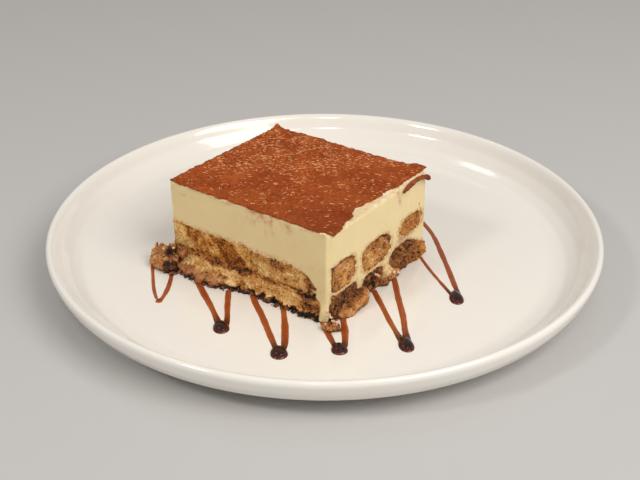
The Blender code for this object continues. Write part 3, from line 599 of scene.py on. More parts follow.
def soak_of(name, finger, points):
    """How much coffee a finger's crumb holds at each point: plain zones over its cut faces, plus noise."""
    x, y, z = points[..., 0], points[..., 1], points[..., 2]
    wander = 4.2 * rough_noise(points, 6.5, finger["seed"] + 90, 4)
    x_edge, z_edge = x + wander + 0.7 * (z - 22.0) * finger.get("upper", 0), z + 0.4 * wander
    rim = 1.0 - smoothstep(depth_in_finger(finger, points), 0.2, 1.8)
    right = smoothstep(x, 40.0, 41.5)
    if name == "upper_front_left":
        soak = 0.45 - 0.4 * hill(x_edge, -47.4, 8.6) * smoothstep(z_edge, 16.8, 18.6)
        soak = soak + 0.12 * hill(x_edge, -14.5, 8.5) * (1.0 - 0.6 * smoothstep(z_edge, 25.0, 28.5))
        soak = soak + 0.16 * rim * smoothstep(-x, 36.0, 42.0) - 0.14 * hill(x_edge, -26.0, 5.0)
        soak = soak - 0.26 * smoothstep(x_edge, -10.0, -5.0) + 0.12 * (1.0 - smoothstep(z, 17.2, 19.6))
    elif name == "upper_front_right":
        soak = 0.15 + 0.34 * hill(x_edge, 16.5, 4.6) * smoothstep(z_edge, 23.0, 25.6) + 0.2 * rim
        soak = soak + 0.4 * smoothstep(x_edge, 27.0, 32.0) + 0.26 * (1.0 - smoothstep(z, 17.0, 19.0))
        cut_end = 0.48 - 0.1 * bump((y + 44.5) / 5.0) * bump((z - 24.0) / 6.0) + 0.26 * rim
        soak = mix_value(soak, cut_end, right)
    elif name == "upper_middle":
        soak = 0.33 + 0.18 * smoothstep(y + 0.6 * z, -8.0, 2.0) + 0.24 * rim
    elif name == "upper_back_right":
        soak = 0.46 - 0.16 * smoothstep(-y, -6.0, 2.0)
    elif name == "upper_back_left":
        soak = 0.4 + 0.15 * rim
    elif name == "lower_front_left":
        soak = 0.2 + 0.16 * bump((x + 34.0) / 4.0) * bump((z - 15.4) / 2.2)
        soak = soak + 0.34 * smoothstep(-x_edge, 40.0, 44.0)
        soak = soak + (0.22 + 0.26 * smoothstep(x, -36.0, -22.0)) * smoothstep(z_edge, 14.4, 16.2)
        soak = soak + 0.16 * hill(x_edge, -6.5, 3.0)
    elif name == "lower_front_right":
        soak = 0.23 + 0.42 * smoothstep(x_edge, 24.0, 29.0) + 0.34 * smoothstep(z, 15.0, 16.8)
        soak = mix_value(soak, 0.8, right)
    elif name == "lower_middle":
        soak = 0.82 - 0.34 * smoothstep(-z + 0.3 * (y + 21.0), -9.5, -7.5)
    elif name == "lower_back_right":
        soak = 0.66 + 0.2 * bump((y - 8.0) / 6.0) * bump((z - 16.5) / 3.5)
        soak = soak - 0.1 * smoothstep(-z, -12.0, -9.0)
    else:
        soak = 0.5 + 0.0 * x
    if not (finger.get("upper") or finger.get("free")):
        lumpy_left = smoothstep(-x, 11.0, 20.0)
        uneven = (1.8 + 0.4 * lumpy_left) * rough_noise(points, 3.0, finger["seed"] + 60)
        foot = 9.3 + 1.6 * lumpy_left + uneven
        wet = 1.0 - smoothstep(z, foot - 0.6, foot + 0.9)
        soak = soak + (0.75 - 0.4 * lumpy_left * smoothstep(z, 7.6, 8.8)) * wet * (1.0 - 0.85 * right)
    mottle = (0.2 * rough_noise(points, 3.4, finger["seed"] + 70)
              + 0.16 * rough_noise(points, 1.0, finger["seed"] + 80))
    return soak + mottle


def make_finger(name, finger, finish):
    """A sponge finger: its bare skin with an open crumb pushed out along the skin's normals.

    What is pressed out of a lower finger's right end belongs to it.
    """
    rings = finger_skin(finger, 0.28)
    ends = [face_end(rings[0], 8 if finger["ends"][0] else 30)[::-1],
            face_end(rings[-1], 8 if finger["ends"][1] else 46)]
    grid = np.concatenate([ends[0], rings, ends[1]])
    right = smoothstep(grid[..., 0], RIGHT_X - 1.2, RIGHT_X - 0.1)
    grid[..., 0] += right * end_bulge(name, grid)
    normals = grid_normals(grid)
    soak = soak_of(name, finger, grid)
    lift, pore = crumb_relief(grid, finger["seed"] * 7)
    lift = lift * (0.8 + 0.6 * smoothstep(soak, 0.4, 0.8))
    if finger.get("front") and not finger.get("upper"):
        skirt = smoothstep(11.5 - grid[..., 2], 0.0, 2.4) * smoothstep(-grid[..., 1], 54.0, 57.0)
        clumps = 1.0 + 0.5 * smoothstep(-grid[..., 0], 11.0, 20.0)
        lift = lift + skirt * clumps * (2.8 * clumps - 2.2 + 1.2 * rough_noise(grid, 4.0, finger["seed"] + 5)
                                        + 0.7 * rough_noise(grid, 2.4, finger["seed"] + 6))
    if finger.get("slump"):
        lift = lift + 0.9 * right * rough_noise(grid, 3.6, 97)
    grid = grid + normals * lift[..., None]
    grid[..., 2] = np.maximum(grid[..., 2], LOWEST_CRUMB)
    # The crumb is painted darker in its pores and lighter on its raised crests: painted shade and painted
    # highlight.
    crest_highlight = smoothstep(lift, 0.05, 0.5)
    pore_shade = (0.16 + 0.3 * smoothstep(soak, 0.25, 0.6)) * pore
    tint = soaked_colour(soak + pore_shade - 0.16 * crest_highlight)
    if name == "upper_front_left":
        golden = mix(PALE_GOLD + 0.0 * tint, DEEP_GOLD, smoothstep(soak, 0.28, 0.5))
        tint = tint * golden
    if name == "lower_front_left":
        clumps = (smoothstep(-grid[..., 0], 11.0, 20.0) * (1.0 - smoothstep(grid[..., 2], 11.0, 13.0))
                  * smoothstep(grid[..., 2], 7.8, 9.0))
        # On the foot's clumps the raised crests turn pinkish tan: partly the crumb's own colour, partly
        # painted highlight.
        tint = mix(tint, screen(164, 108, 80), 0.5 * clumps * crest_highlight)
    if finger.get("upper"):
        torn = smoothstep(soft_noise(grid * np.array([1.0, 0.6, 1.8]), 1.0, 95), 0.25, 0.6)
        torn = torn * right * smoothstep(depth_in_finger(finger, grid), 0.8, 3.0)
        tint = mix(tint, screen(236, 208, 176), (0.85 if name == "upper_middle" else 0.6) * torn)
    if name == "lower_back_right":
        flake = right * bump((grid[..., 1] - 23.0) / 2.8) * smoothstep(grid[..., 2], 8.0, 10.0)
        tint = mix(tint, screen(220, 150, 62), 0.8 * flake)
    parts = [closed_part(grid, tint, np.clip(soak - 0.45, 0.0, 1.0) * 1.6)]
    if name == "lower_front_right":
        parts.append(pressed_crust())
    if name == "lower_middle":
        parts.append(clod((44.2, -5.6, 8.8), (2.0, 4.4, 2.2), 64, 0.42, 0.4, levels=44, turns=64))
        parts.append(clod((44.6, -13.4, 8.6), (1.8, 2.6, 1.9), 65, 0.7, 0.4, levels=44, turns=64))
    return mesh_piece("sponge_" + name, parts, finish, ["finger_" + name])


# The cream.

def slice_plan(step):
    """The slice's plan: four straight sides and its corners, at even steps.

    The front right corner is cut off flat, with two blunt edges; the others are round.
    """
    centre = CORNERS.mean(axis=0)
    outline = []
    for index, radius in enumerate(CORNER_RADII):
        if index == FLAT_CORNER:
            outline.append(FLAT_CORNER_LINE)
            continue
        heading = -np.pi + index * np.pi / 2.0 + np.linspace(0.0, np.pi / 2.0, 16)
        middle = CORNERS[index] + np.sign(centre - CORNERS[index]) * radius
        outline.append(middle + radius * np.stack([np.cos(heading), np.sin(heading)], axis=-1))
    outline = np.concatenate(outline)
    length = np.linalg.norm(np.diff(np.concatenate([outline, outline[:1]]), axis=0), axis=1).sum()
    return resampled(outline, np.ones(len(outline)), int(length / step))


def plan_normals(plan):
    """Unit directions out of a plan that goes round anticlockwise."""
    along = np.roll(plan, -1, axis=0) - np.roll(plan, 1, axis=0)
    along /= np.linalg.norm(along, axis=1, keepdims=True)
    return np.stack([along[:, 1], -along[:, 0]], axis=-1)


def cream_stain(points):
    """Where coffee and cocoa have marked the cream, from 0 to 1: smears under the top edge and a drip."""
    x, y, z = points[..., 0], points[..., 1], points[..., 2]
    front = smoothstep(-y, 52.8, 53.8)
    right = smoothstep(x, 40.6, 41.8)
    broken = 0.5 + 0.9 * rough_noise(points, 2.2, 301)
    smears = (0.5 * bump((x + 41.0) / 4.2) * bump((z - 45.2) / 0.8)
              + 0.8 * bump((x + 19.0) / 6.5) * bump((z - 49.2) / 1.4)
              + 1.2 * bump((x - 7.0) / 8.0) * bump((z - 48.6) / 1.8)
              + 0.8 * bump((x + 1.0) / 7.0) * bump((z - 44.6 - 0.08 * x) / 1.4)
              + 1.1 * bump((x - 19.5) / 2.2) * bump((z - 47.0) / 2.2)
              + 0.6 * bump((x - 10.6) / 1.3) * smoothstep(z, 38.0, 46.0)
              + 0.4 * bump((x - 6.4) / 0.6) * smoothstep(z, 32.0, 47.0))
    side = 0.9 * bump((y - 1.2 + 0.35 * (z - 45.0)) / 1.1) * smoothstep(z, 39.0, 46.0)
    edge = 0.95 * smoothstep(z, 48.2, 49.9) * (0.5 + 0.7 * soft_noise(points, 3.0, 302))
    return np.clip((front * (smears + edge) + right * (side + 0.2 * edge)) * broken, 0.0, 1.0)


def make_cream(finish):
    """The cream: the slice's block as rings over its plan, from the plate up, with a finely closed top.

    Its faces wave a little and carry faint upright lines from the cut. Wherever a finger's outline crosses a
    face, the cream is set back behind it, with a ragged lip, and it stands out as a smear low on the right.
    """
    plan = slice_plan(0.45)
    out = plan_normals(plan)
    heights = np.concatenate([[SLICE_BASE], np.arange(SLICE_BASE + 0.3, CREAM_TOP - 0.6, 0.46),
                              [CREAM_TOP - 0.4, CREAM_TOP - 0.15]])
    grid = np.empty((len(heights), len(plan), 3))
    grid[..., :2] = plan
    grid[..., 2] = heights[:, None]
    x, y, z = grid[..., 0].copy(), grid[..., 1].copy(), grid[..., 2].copy()
    inset = (0.8 * (1.0 - smoothstep(z, SLICE_BASE, SLICE_BASE + 1.0))
             + 0.5 * smoothstep(z, CREAM_TOP - 0.7, CREAM_TOP) ** 2)
    depth = np.max([depth_in_finger(finger, grid) for finger in FINGERS.values()], axis=0)
    on_front = smoothstep(-y, 53.0, 54.0)
    covered = on_front * (corner_cover(x, z) > 0.25) * smoothstep(x, 8.0, 10.0)
    corner = bump((x - 41.5) / 2.6) * bump((y + 54.0) / 2.6)
    ragged = depth + 0.55 * rough_noise(grid, 1.7, 201) - 0.15
    recess = 2.4 * smoothstep(ragged, 0.0, 0.9) * (1.0 - np.clip(covered + 1.6 * corner, 0.0, 1.0))
    lip = 0.12 * bump((ragged + 0.5) / 0.55)
    lines = 0.04 * soft_noise(grid * np.array([1.0, 1.0, 0.06]), 1.6, 202)
    waves = 0.28 * rough_noise(grid, 26.0, 203, 2) + 0.1 * rough_noise(grid, 5.0, 204, 2)
    crumbled = 0.4 * rough_noise(grid, 1.5, 205) * smoothstep(z, 48.6, 49.8)
    smear = (2.2 * bump((y + 8.0) / 4.8) * bump((z - 11.0) / 3.4)
             + 1.2 * bump((y + 20.0) / 2.0) * bump((z - 16.4) / 1.4)
             + 1.4 * bump((y + 1.0) / 4.0) * bump((z - 8.5) / 2.0))
    smear = smear * (x > 39.0) * (1.0 + 0.5 * rough_noise(grid, 2.4, 208))
    foot_run = 3.4 * bump((x - 39.0) / 2.2) * smoothstep(-y, 50.0, 53.0) * (1.0 - smoothstep(z, 7.5, 17.0))
    push = waves + lines + crumbled + lip + smear + foot_run - recess - inset
    grid[..., :2] += out * push[..., None]
    stain = cream_stain(grid)
    fine_grain = rough_noise(grid, 0.8, 206)
    near_finger = bump((depth + 0.2) / 1.0) * (1.0 - corner) * (1.0 - 0.8 * covered)
    shares = np.concatenate([np.linspace(0.996, 0.86, 24), [0.7, 0.5, 0.25]])
    middle = np.array([*plan.mean(axis=0), 0.0])
    top = middle + (grid[-1] - middle) * shares[:, None, None] * [1.0, 1.0, 0.0]
    bare = smoothstep(top[..., 0], 33.0, 37.0)
    lumpy = 0.4 * rough_noise(top, 1.7, 207) + 0.3 * rough_noise(top, 5.0, 209)
    lobe = 1.6 * bump((top[..., 0] - 40.0) / 6.0) * bump((top[..., 1] - 24.0) / 6.0)
    top[..., 2] = CREAM_TOP + 0.1 + bare * (0.45 + lumpy + lobe) * smoothstep(-shares, -1.0, -0.985)[:, None]
    base = middle + (grid[0] - middle) * np.array([0.3, 0.7])[:, None, None] * [1.0, 1.0, 0.0]
    base[..., 2] = SLICE_BASE
    # The right face is painted lighter than the front: painted light on the side that the softbox lights.
    colour = mix(screen(232, 209, 157) + 0.0 * grid, screen(239, 219, 168), smoothstep(x, 39.6, 40.4))
    colour = mix(colour, screen(190, 116, 88), 0.75 * stain)
    colour = mix(colour, screen(196, 140, 76), np.clip(near_finger * (0.5 + 0.8 * fine_grain), 0.0, 0.8))
    speck = bump((y - 19.2) / 0.45) * bump((z - 35.6) / 0.7) * (x > 40.0)
    colour = mix(colour, screen(70, 35, 20), 0.9 * speck)
    smudge = (1.1 * bump((y - 5.5) / 6.0) * bump((z - 23.6 - 0.1 * (y - 5.0)) / 3.2)
              + 0.5 * bump((y + 3.0) / 3.0) * bump((z - 10.0) / 2.6)) * (x > 40.0) * (0.6 + 0.6 * fine_grain)
    colour = mix(colour, screen(160, 104, 76), np.clip(smudge, 0.0, 1.0))
    deep = mix(colour, screen(160, 104, 52), 0.6 * smoothstep(recess, 0.6, 1.8))
    whole = np.concatenate([base, grid, top])
    # The bare top is painted lighter where its lumps stand higher: painted highlight on the lumps and painted
    # shade in the hollows.
    top_tint = mix(screen(232, 206, 160) + 0.0 * top, screen(246, 230, 198), smoothstep(lumpy, -0.2, 0.5))
    tint = np.concatenate([np.repeat(deep[:1], 2, axis=0), deep, top_tint])
    part = closed_part(whole, tint, np.zeros(whole.shape[:2]))
    return mesh_piece("cream_block", [part], finish, ["cream"])


# The cocoa.

# The level of the skin's middle surface, and the colours of the powder and of the grains on it.
COCOA_LEVEL = 51.1
POWDER_LOW, POWDER_HIGH, POWDER_DARK = screen(141, 61, 27), screen(180, 92, 45), screen(118, 50, 26)
GRAIN_LOW, GRAIN_HIGH = screen(190, 104, 60), screen(255, 196, 136)
# The line along which the skin's right edge leaves the cream bare: X at each Y.
SKIN_RIGHT_Y = (-54.4, -52.0, -48.0, -42.8, -38.0, -34.4, -32.6, -28.0, -17.0, -5.0, 6.0, 14.0, 21.0, 26.0)
SKIN_RIGHT_X = (42.5, 43.0, 42.2, 41.0, 40.1, 39.4, 37.3, 36.6, 38.0, 38.6, 39.7, 40.1, 41.1, 41.4)


def cocoa_edges(across, deep):
    """The cocoa skin's plan at each share across (left to right) and deep (front to back).

    Each edge is the slice's own, drawn in by ragged noise. Along the right edge it follows the line of
    the strip of cream that it leaves bare.
    """
    def ragged(place, seed, depth):
        line = np.stack([place, 0.0 * place, 0.0 * place], axis=-1)
        return depth * (0.5 + 0.5 * rough_noise(line, 4.0, seed, 5))
    y_place = FRONT_Y + deep * (BACK_Y + 1.0 - FRONT_Y)
    x_place = LEFT_X + across * (RIGHT_X - LEFT_X)
    left = CORNERS[0, 0] + deep * (CORNERS[3, 0] - CORNERS[0, 0]) + ragged(y_place, 401, 0.8)
    right = np.interp(y_place, SKIN_RIGHT_Y, SKIN_RIGHT_X) + 0.4 - ragged(y_place, 402, 1.1)
    front = FRONT_Y + ragged(x_place, 403, 1.0) - 0.25
    front = front + 0.9 * smoothstep(x_place, 34.0, 39.0) + 0.7 * smoothstep(x_place, 39.0, 43.0)
    back = BACK_Y + 1.3 - ragged(x_place, 404, 1.2)
    return left + across * (right - left), front + deep * (back - front)


def cocoa_height(points):
    """The powder's relief over the skin, in mm: a slow wave, clods, and crests stretched along one way,
    with the back right corner lifted and a small peak at the back left one."""
    x, y = points[..., 0], points[..., 1]
    turned = np.stack([0.81 * x + 0.59 * y, 3.0 * (0.81 * y - 0.59 * x), 0.0 * x], axis=-1)
    flat = points * np.array([1.0, 1.0, 0.0])
    lobe = 2.3 * bump((x - 38.0) / 7.0) * bump((y - 25.0) / 5.5)
    peak = 1.3 * bump((x + 49.0) / 1.6) * bump((y - 25.0) / 1.8)
    peak = peak + 0.5 * bump((x + 50.0) / 1.2) * bump((y + 53.6) / 1.6)
    return (0.25 * rough_noise(flat, 22.0, 411, 2) + 0.12 * rough_noise(flat, 1.6, 412, 3)
            + 0.2 * rough_noise(turned, 2.0, 413, 3) + lobe + peak)


def make_cocoa(finish):
    """The dusted cocoa skin: a fine sheet over the plan, a ragged wall round it and a flat underside."""
    rows, columns = 230, 270
    deep, across = np.meshgrid(np.linspace(0.0, 1.0, rows), np.linspace(0.0, 1.0, columns), indexing="ij")
    x, y = cocoa_edges(across, deep)
    sheet = np.stack([x, y, 0.0 * x], axis=-1)
    edge = np.minimum(np.minimum(across, 1.0 - across) * 94.0, np.minimum(deep, 1.0 - deep) * 79.0)
    relief = cocoa_height(sheet)
    ragged_rim = (0.4 + 0.35 * rough_noise(sheet, 1.8, 414)) * bump(edge / 0.8)
    sheet[..., 2] = COCOA_LEVEL + relief - ragged_rim
    round_trip = np.concatenate([sheet[0, :-1], sheet[:-1, -1], sheet[-1, :0:-1], sheet[:0:-1, 0]])
    out = plan_normals(round_trip[:, :2])
    walls = []
    for drop, spread in ((0.2, 0.1), (0.45, 0.02), (0.8, -0.45)):
        ring = round_trip.copy()
        ring[:, 2] -= drop * (1.0 + 0.6 * soft_noise(round_trip, 1.2, 421))
        ring[:, :2] += out * (spread + 0.16 * rough_noise(ring, 1.2, 422))[:, None]
        walls.append(ring)
    middle = np.array([[-4.0, -15.0, 50.1]])
    points = np.concatenate([sheet.reshape(-1, 3), *walls, middle])
    row, column = np.meshgrid(np.arange(rows - 1), np.arange(columns - 1), indexing="ij")
    first = row * columns + column
    quads = [np.stack([first, first + 1, first + columns + 1, first + columns], axis=-1).reshape(-1, 4)]
    index = np.arange(rows * columns).reshape(rows, columns)
    rim = np.concatenate([index[0, :-1], index[:-1, -1], index[-1, :0:-1], index[:0:-1, 0]])
    count = len(rim)
    levels = [rim] + [rows * columns + level * count + np.arange(count) for level in range(3)]
    for high, low in zip(levels[:-1], levels[1:]):
        quads.append(np.column_stack([high, low, np.roll(low, -1), np.roll(high, -1)]))
    last = levels[-1]
    fan = np.column_stack([np.full(count, len(points) - 1), np.roll(last, -1), last])
    flat = points * np.array([1.0, 1.0, 0.0])
    shade = 0.5 + 0.3 * rough_noise(flat, 9.0, 431, 3) + 0.4 * rough_noise(flat, 0.9, 432, 2)
    tint = mix(POWDER_LOW + 0.0 * points, POWDER_HIGH, np.clip(shade, 0.0, 1.0))
    dark = 0.5 * smoothstep(0.8 * points[:, 0] - 0.6 * points[:, 1], 20.0, 66.0)
    dark = dark + 0.35 * bump((points[:, 1] - 25.0) / 5.0) * smoothstep(points[:, 0], 32.0, 42.0)
    tint = mix(tint, POWDER_DARK, np.clip(dark, 0.0, 0.8))
    part = (points, np.concatenate(quads), fan, tint, np.zeros(len(points)))
    return mesh_piece("cocoa_skin", [part], finish, ["cocoa_top"])


def scattered(centres, sizes, stretch, tints, damps, draw):
    """Small rough pebbles as one part: at each centre a ball of 20 faces, turned, stretched and dented."""
    golden = (1.0 + 5.0 ** 0.5) / 2.0
    corners = np.array([(-1, golden, 0), (1, golden, 0), (-1, -golden, 0), (1, -golden, 0), (0, -1, golden),
                        (0, 1, golden), (0, -1, -golden), (0, 1, -golden), (golden, 0, -1), (golden, 0, 1),
                        (-golden, 0, -1), (-golden, 0, 1)], dtype=float)
    corners /= np.linalg.norm(corners, axis=1, keepdims=True)
    faces = np.array([(0, 11, 5), (0, 5, 1), (0, 1, 7), (0, 7, 10), (0, 10, 11), (1, 5, 9), (5, 11, 4),
                      (11, 10, 2), (10, 7, 6), (7, 1, 8), (3, 9, 4), (3, 4, 2), (3, 2, 6), (3, 6, 8),
                      (3, 8, 9), (4, 9, 5), (2, 4, 11), (6, 2, 10), (8, 6, 7), (9, 8, 1)])
    count = len(centres)
    shapes = corners[None] * draw.uniform(0.65, 1.3, (count, 12, 1)) * stretch
    angle = draw.uniform(0.0, 2.0 * np.pi, count)
    cosine, sine = np.cos(angle)[:, None], np.sin(angle)[:, None]
    turned = np.stack([shapes[..., 0] * cosine - shapes[..., 1] * sine,
                       shapes[..., 0] * sine + shapes[..., 1] * cosine, shapes[..., 2]], axis=-1)
    points = centres[:, None] + turned * sizes[:, None, None]
    triangles = (faces[None] + 12 * np.arange(count)[:, None, None]).reshape(-1, 3)
    return (points.reshape(-1, 3), np.empty((0, 4), dtype=int), triangles,
            np.repeat(tints, 12, axis=0), np.repeat(damps, 12))


def make_cocoa_grains(finish):
    """Lighter grains on the cocoa: loose ones and short bent rows, closer together to the back left."""
    draw = np.random.default_rng(71)
    starts = draw.uniform((-49.0, -53.0), (40.5, 25.0), (9000, 2))
    patches = rough_noise(np.column_stack([starts, 0.0 * starts[:, 0]]), 9.0, 72)
    pull = 0.2 + 0.8 * smoothstep(-starts[:, 0] + 1.2 * starts[:, 1], -50.0, 30.0)
    starts = starts[draw.uniform(size=len(starts)) < 0.26 * pull * (1.0 + 0.7 * patches)]
    rows = draw.uniform(size=len(starts)) < 0.75
    lengths = np.where(rows, draw.integers(3, 8, len(starts)), 1)
    owner = np.repeat(np.arange(len(starts)), lengths)
    order = np.arange(len(owner)) - np.repeat(np.cumsum(lengths) - lengths, lengths)
    heading = np.radians(36.0) + draw.normal(0.0, 0.38, len(starts))[owner]
    bend = draw.uniform(-0.12, 0.12, len(starts))[owner] * order
    along = np.column_stack([np.cos(heading + bend), np.sin(heading + bend)])
    plan = starts[owner] + 0.27 * order[:, None] * along
    plan += draw.normal(0.0, 0.05, plan.shape)
    right = np.interp(plan[:, 1], SKIN_RIGHT_Y, SKIN_RIGHT_X)
    inside = (plan[:, 0] < right - 1.0) & (plan[:, 0] > -49.8) & (plan[:, 1] < 24.6) & (plan[:, 1] > -53.2)
    plan, owner = plan[inside], owner[inside]
    centres = np.column_stack([plan, np.zeros(len(plan))])
    centres[:, 2] = COCOA_LEVEL + 0.02 + cocoa_height(centres)
    sizes = draw.uniform(0.15, 0.26, len(centres))
    share = np.clip(draw.uniform(size=len(starts))[owner] ** 1.3 + 0.25 * rows[owner], 0.0, 1.0)
    tints = mix(GRAIN_LOW + 0.0 * centres, GRAIN_HIGH, share)
    part = scattered(centres, sizes, np.array([1.2, 0.9, 0.6]), tints, np.zeros(len(centres)), draw)
    return mesh_piece("cocoa_grains", [part], finish)


def smooth_route(points, count):
    """A smooth curve through the points, at count even steps: a cubic between each two of them.

    Its slope at a point is half of the way from the point before it to the point after it.
    """
    points = np.array(points, dtype=float)
    padded = np.concatenate([2.0 * points[:1] - points[1:2], points, 2.0 * points[-1:] - points[-2:-1]])
    place = np.linspace(0.0, len(points) - 1.0, count)
    span = np.minimum(place.astype(int), len(points) - 2)
    share = (place - span)[:, None]
    before, start, end, after = (padded[span + step] for step in range(4))
    return 0.5 * (2.0 * start + (end - before) * share
                  + (2.0 * before - 5.0 * start + 4.0 * end - after) * share ** 2
                  + (3.0 * start - before - 3.0 * end + after) * share ** 3)


def make_curl(finish):
    """The strip of cocoa skin that has come away: a round profile of changing width along a bent path."""
    route = smooth_route([(43.6, 2.4, 49.0), (43.7, 6.5, 50.2), (43.7, 11.0, 51.0), (43.7, 15.5, 51.1),
                          (43.9, 19.5, 50.3), (44.2, 22.8, 49.1), (44.1, 24.4, 48.2)], 100)
    radii = smooth_route([(0.7, 0, 0), (1.1, 0, 0), (1.0, 0, 0), (1.0, 0, 0), (1.15, 0, 0), (1.55, 0, 0),
                          (0.9, 0, 0)], 100)[:, 0]
    turn = np.linspace(0.0, 2.0 * np.pi, 48, endpoint=False)
    grid = np.stack([route[:, 0, None] + radii[:, None] * np.cos(turn), route[:, 1, None] + 0.0 * turn,
                     route[:, 2, None] + 0.85 * radii[:, None] * np.sin(turn)], axis=-1)
    lift = 0.35 * rough_noise(grid, 1.6, 501)
    grid = grid + grid_normals(grid) * lift[..., None]
    # The raised bumps are painted lighter and the dips darker: painted highlight and painted shade.
    tint = mix(screen(104, 46, 26) + 0.0 * grid, screen(164, 88, 54), np.clip(0.45 + lift * 1.8, 0.0, 1.0))
    return mesh_piece("cocoa_strip", [closed_part(grid, tint, 0.0 * lift)], finish, ["cocoa_curl"])


# The lumps and crumbs.

def clod(middle, radii, seed, soak, roughness=0.2, corner=None, towards=None, levels=60, turns=96, hole=None):
    """A broken lump: an ellipsoid over latitude and longitude, roughened, pitted, and flat on the plate.

    Where corner is given, it stays clear of all that lies past that plan point towards the signs given.
    hole is a point and a width: the lump is dented there, and painted dark there as shade.
    """
    middle, radii = np.array(middle), np.array(radii)
    heading = round_grid(levels, turns)[2]
    reach = 1.0 / np.linalg.norm(heading / radii, axis=-1)
    crags = rough_noise(middle + heading * reach[..., None], radii.mean() * 0.8, seed, 3)
    reach = reach * (1.0 + roughness * crags)
    if corner is not None:
        ahead = heading[..., :2] * towards
        distance = (np.array(corner) - middle[:2]) * towards
        enter = np.max(distance / np.maximum(ahead, 1e-6), axis=-1)
        blocked = np.all((ahead > 0.0) | (distance < 0.0), axis=-1)
        reach = np.where(blocked, np.minimum(reach, enter), reach)
    grid = middle + heading * reach[..., None]
    rise, pore = crumb_relief(grid, seed * 5, 0.9)
    inside = 0.0 * rise
    if hole is not None:
        inside = bump(np.linalg.norm(grid - np.array(hole[0]), axis=-1) / hole[1])
    grid = grid + heading * (rise * 1.2 - 1.8 * inside)[..., None]
    grid[..., 2] = np.maximum(grid[..., 2], LOWEST_CRUMB)
    # Pores are painted darker and raised crumbs lighter: painted shade and painted highlight. The hole is
    # painted dark as shade, and the lump is darker low down, where it meets the plate.
    amount = soak + 0.24 * rough_noise(grid, 2.2, seed + 9) + 0.4 * pore - 0.22 * smoothstep(rise, 0.05, 0.4)
    amount = amount + 0.3 * (1.0 - smoothstep(grid[..., 2], 7.4, 9.0)) + 0.9 * inside
    tint = mix(soaked_colour(amount), screen(186, 126, 90), 0.4 * smoothstep(0.8 - amount, 0.0, 0.3))
    return closed_part(grid, tint, np.clip(amount - 0.45, 0.0, 1.0) * 1.6)


# The pressed crust's middle and half sizes, and how square it is.
CRUST_MIDDLE = np.array([43.0, -38.5, 9.2])
CRUST_RADII = np.array([5.2, 11.5, 4.6])
CRUST_FULLNESS = 2.6


def pressed_crust():
    """The light ridged crust that is pressed out at the foot of the right face.

    It is a superellipsoid over latitude and longitude, lifted towards the back, with slanting ridges.
    """
    heading = round_grid(90, 130)[2]
    reach = np.sum(np.abs(heading / CRUST_RADII) ** CRUST_FULLNESS, axis=-1) ** (-1.0 / CRUST_FULLNESS)
    grid = CRUST_MIDDLE + heading * reach[..., None]
    grid[..., 2] += 0.1 * (grid[..., 1] - CRUST_MIDDLE[1])
    ridge = np.sin(3.6 * (grid[..., 1] + 0.35 * grid[..., 2]) + 2.8 * soft_noise(grid, 2.4, 90))
    rise, pore = crumb_relief(grid, 445)
    swell = 0.8 * rough_noise(grid, 4.0, 91) + 0.16 * ridge + 0.5 * rise
    grid = grid + heading * swell[..., None]
    grid[..., 2] = np.maximum(grid[..., 2], LOWEST_CRUMB)
    upper = smoothstep(grid[..., 2] - 0.1 * (grid[..., 1] + 38.0), 11.0, 14.0)
    # Pores are painted darker, as painted shade, and the raised ridges a little lighter, as painted
    # highlight.
    amount = 0.36 + 0.4 * upper + 0.3 * pore + 0.24 * rough_noise(grid, 2.0, 92) - 0.07 * ridge
    amount = amount + 0.4 * (1.0 - smoothstep(grid[..., 2], 7.2, 8.2))
    tint = mix(soaked_colour(amount), screen(200, 142, 98), 0.45 * smoothstep(0.6 - amount, 0.0, 0.25))
    return closed_part(grid, tint, 0.0 * amount)


def make_lumps(finish):
    """The two broken lumps of soaked sponge on the plate, each a few clods grown together."""
    small = dict(levels=44, turns=64)
    left = [clod((-51.0, -61.4, 10.6), (7.2, 4.6, 5.0), 51, 0.42, 0.3, (-51.6, -59.8), (1.0, 1.0), 80, 120),
            clod((-47.2, -60.8, 15.4), (4.8, 2.8, 4.0), 66, 0.5, 0.36, None, None, 60, 90,
                 ((-46.4, -62.6, 17.2), 2.7)),
            clod((-41.2, -59.6, 17.4), (3.6, 1.7, 3.0), 67, 0.66, 0.36, **small),
            clod((-56.2, -60.4, 10.8), (3.4, 3.4, 4.4), 52, 0.26, 0.34, **small),
            clod((-53.6, -63.8, 9.4), (3.8, 2.8, 3.0), 53, 0.36, 0.34, **small),
            clod((-45.6, -64.2, 9.8), (4.4, 3.0, 3.4), 54, 0.86, 0.34, **small),
            clod((-57.0, -59.8, 15.4), (1.1, 0.9, 2.6), 55, 0.24, 0.3, levels=30, turns=40),
            clod((-51.6, -60.8, 16.4), (2.6, 1.6, 2.2), 56, 0.46, 0.4, **small)]
    right = [clod((46.2, -59.6, 8.9), (4.0, 2.7, 2.2), 57, 0.5, 0.34, (45.4, -58.4), (-1.0, 1.0), 56, 88),
             clod((44.0, -60.1, 8.5), (2.1, 1.5, 1.7), 58, 0.4, 0.34, **small),
             clod((48.0, -57.8, 8.6), (2.2, 1.7, 1.8), 59, 0.62, 0.34, **small)]
    mesh_piece("soaked_lump_of_the_left", left, finish, ["soaked_lump_left"])
    mesh_piece("soaked_lump_of_the_right", right, finish, ["soaked_lump_right"])


# The torn bits of cream on the front corner, beside the right face and on the left lump: middle and size.
CREAM_FLECKS = (
    ((42.2, -57.4, 14.2), 0.9), ((43.6, -57.6, 13.0), 1.1), ((45.2, -57.8, 12.4), 0.7),
    ((46.6, -58.4, 11.2), 0.8), ((44.6, -61.0, 10.2), 0.7), ((48.4, -57.9, 10.6), 0.6),
    ((44.2, -20.6, 16.0), 1.1), ((44.4, -18.8, 14.4), 0.7), ((44.9, -6.6, 11.0), 1.1),
    ((45.3, -3.4, 9.6), 1.2), ((44.8, -0.8, 8.8), 0.8), ((-50.2, -62.2, 17.4), 0.6),
    ((-44.4, -61.4, 19.4), 0.8), ((-53.8, -65.2, 12.0), 0.6),
)


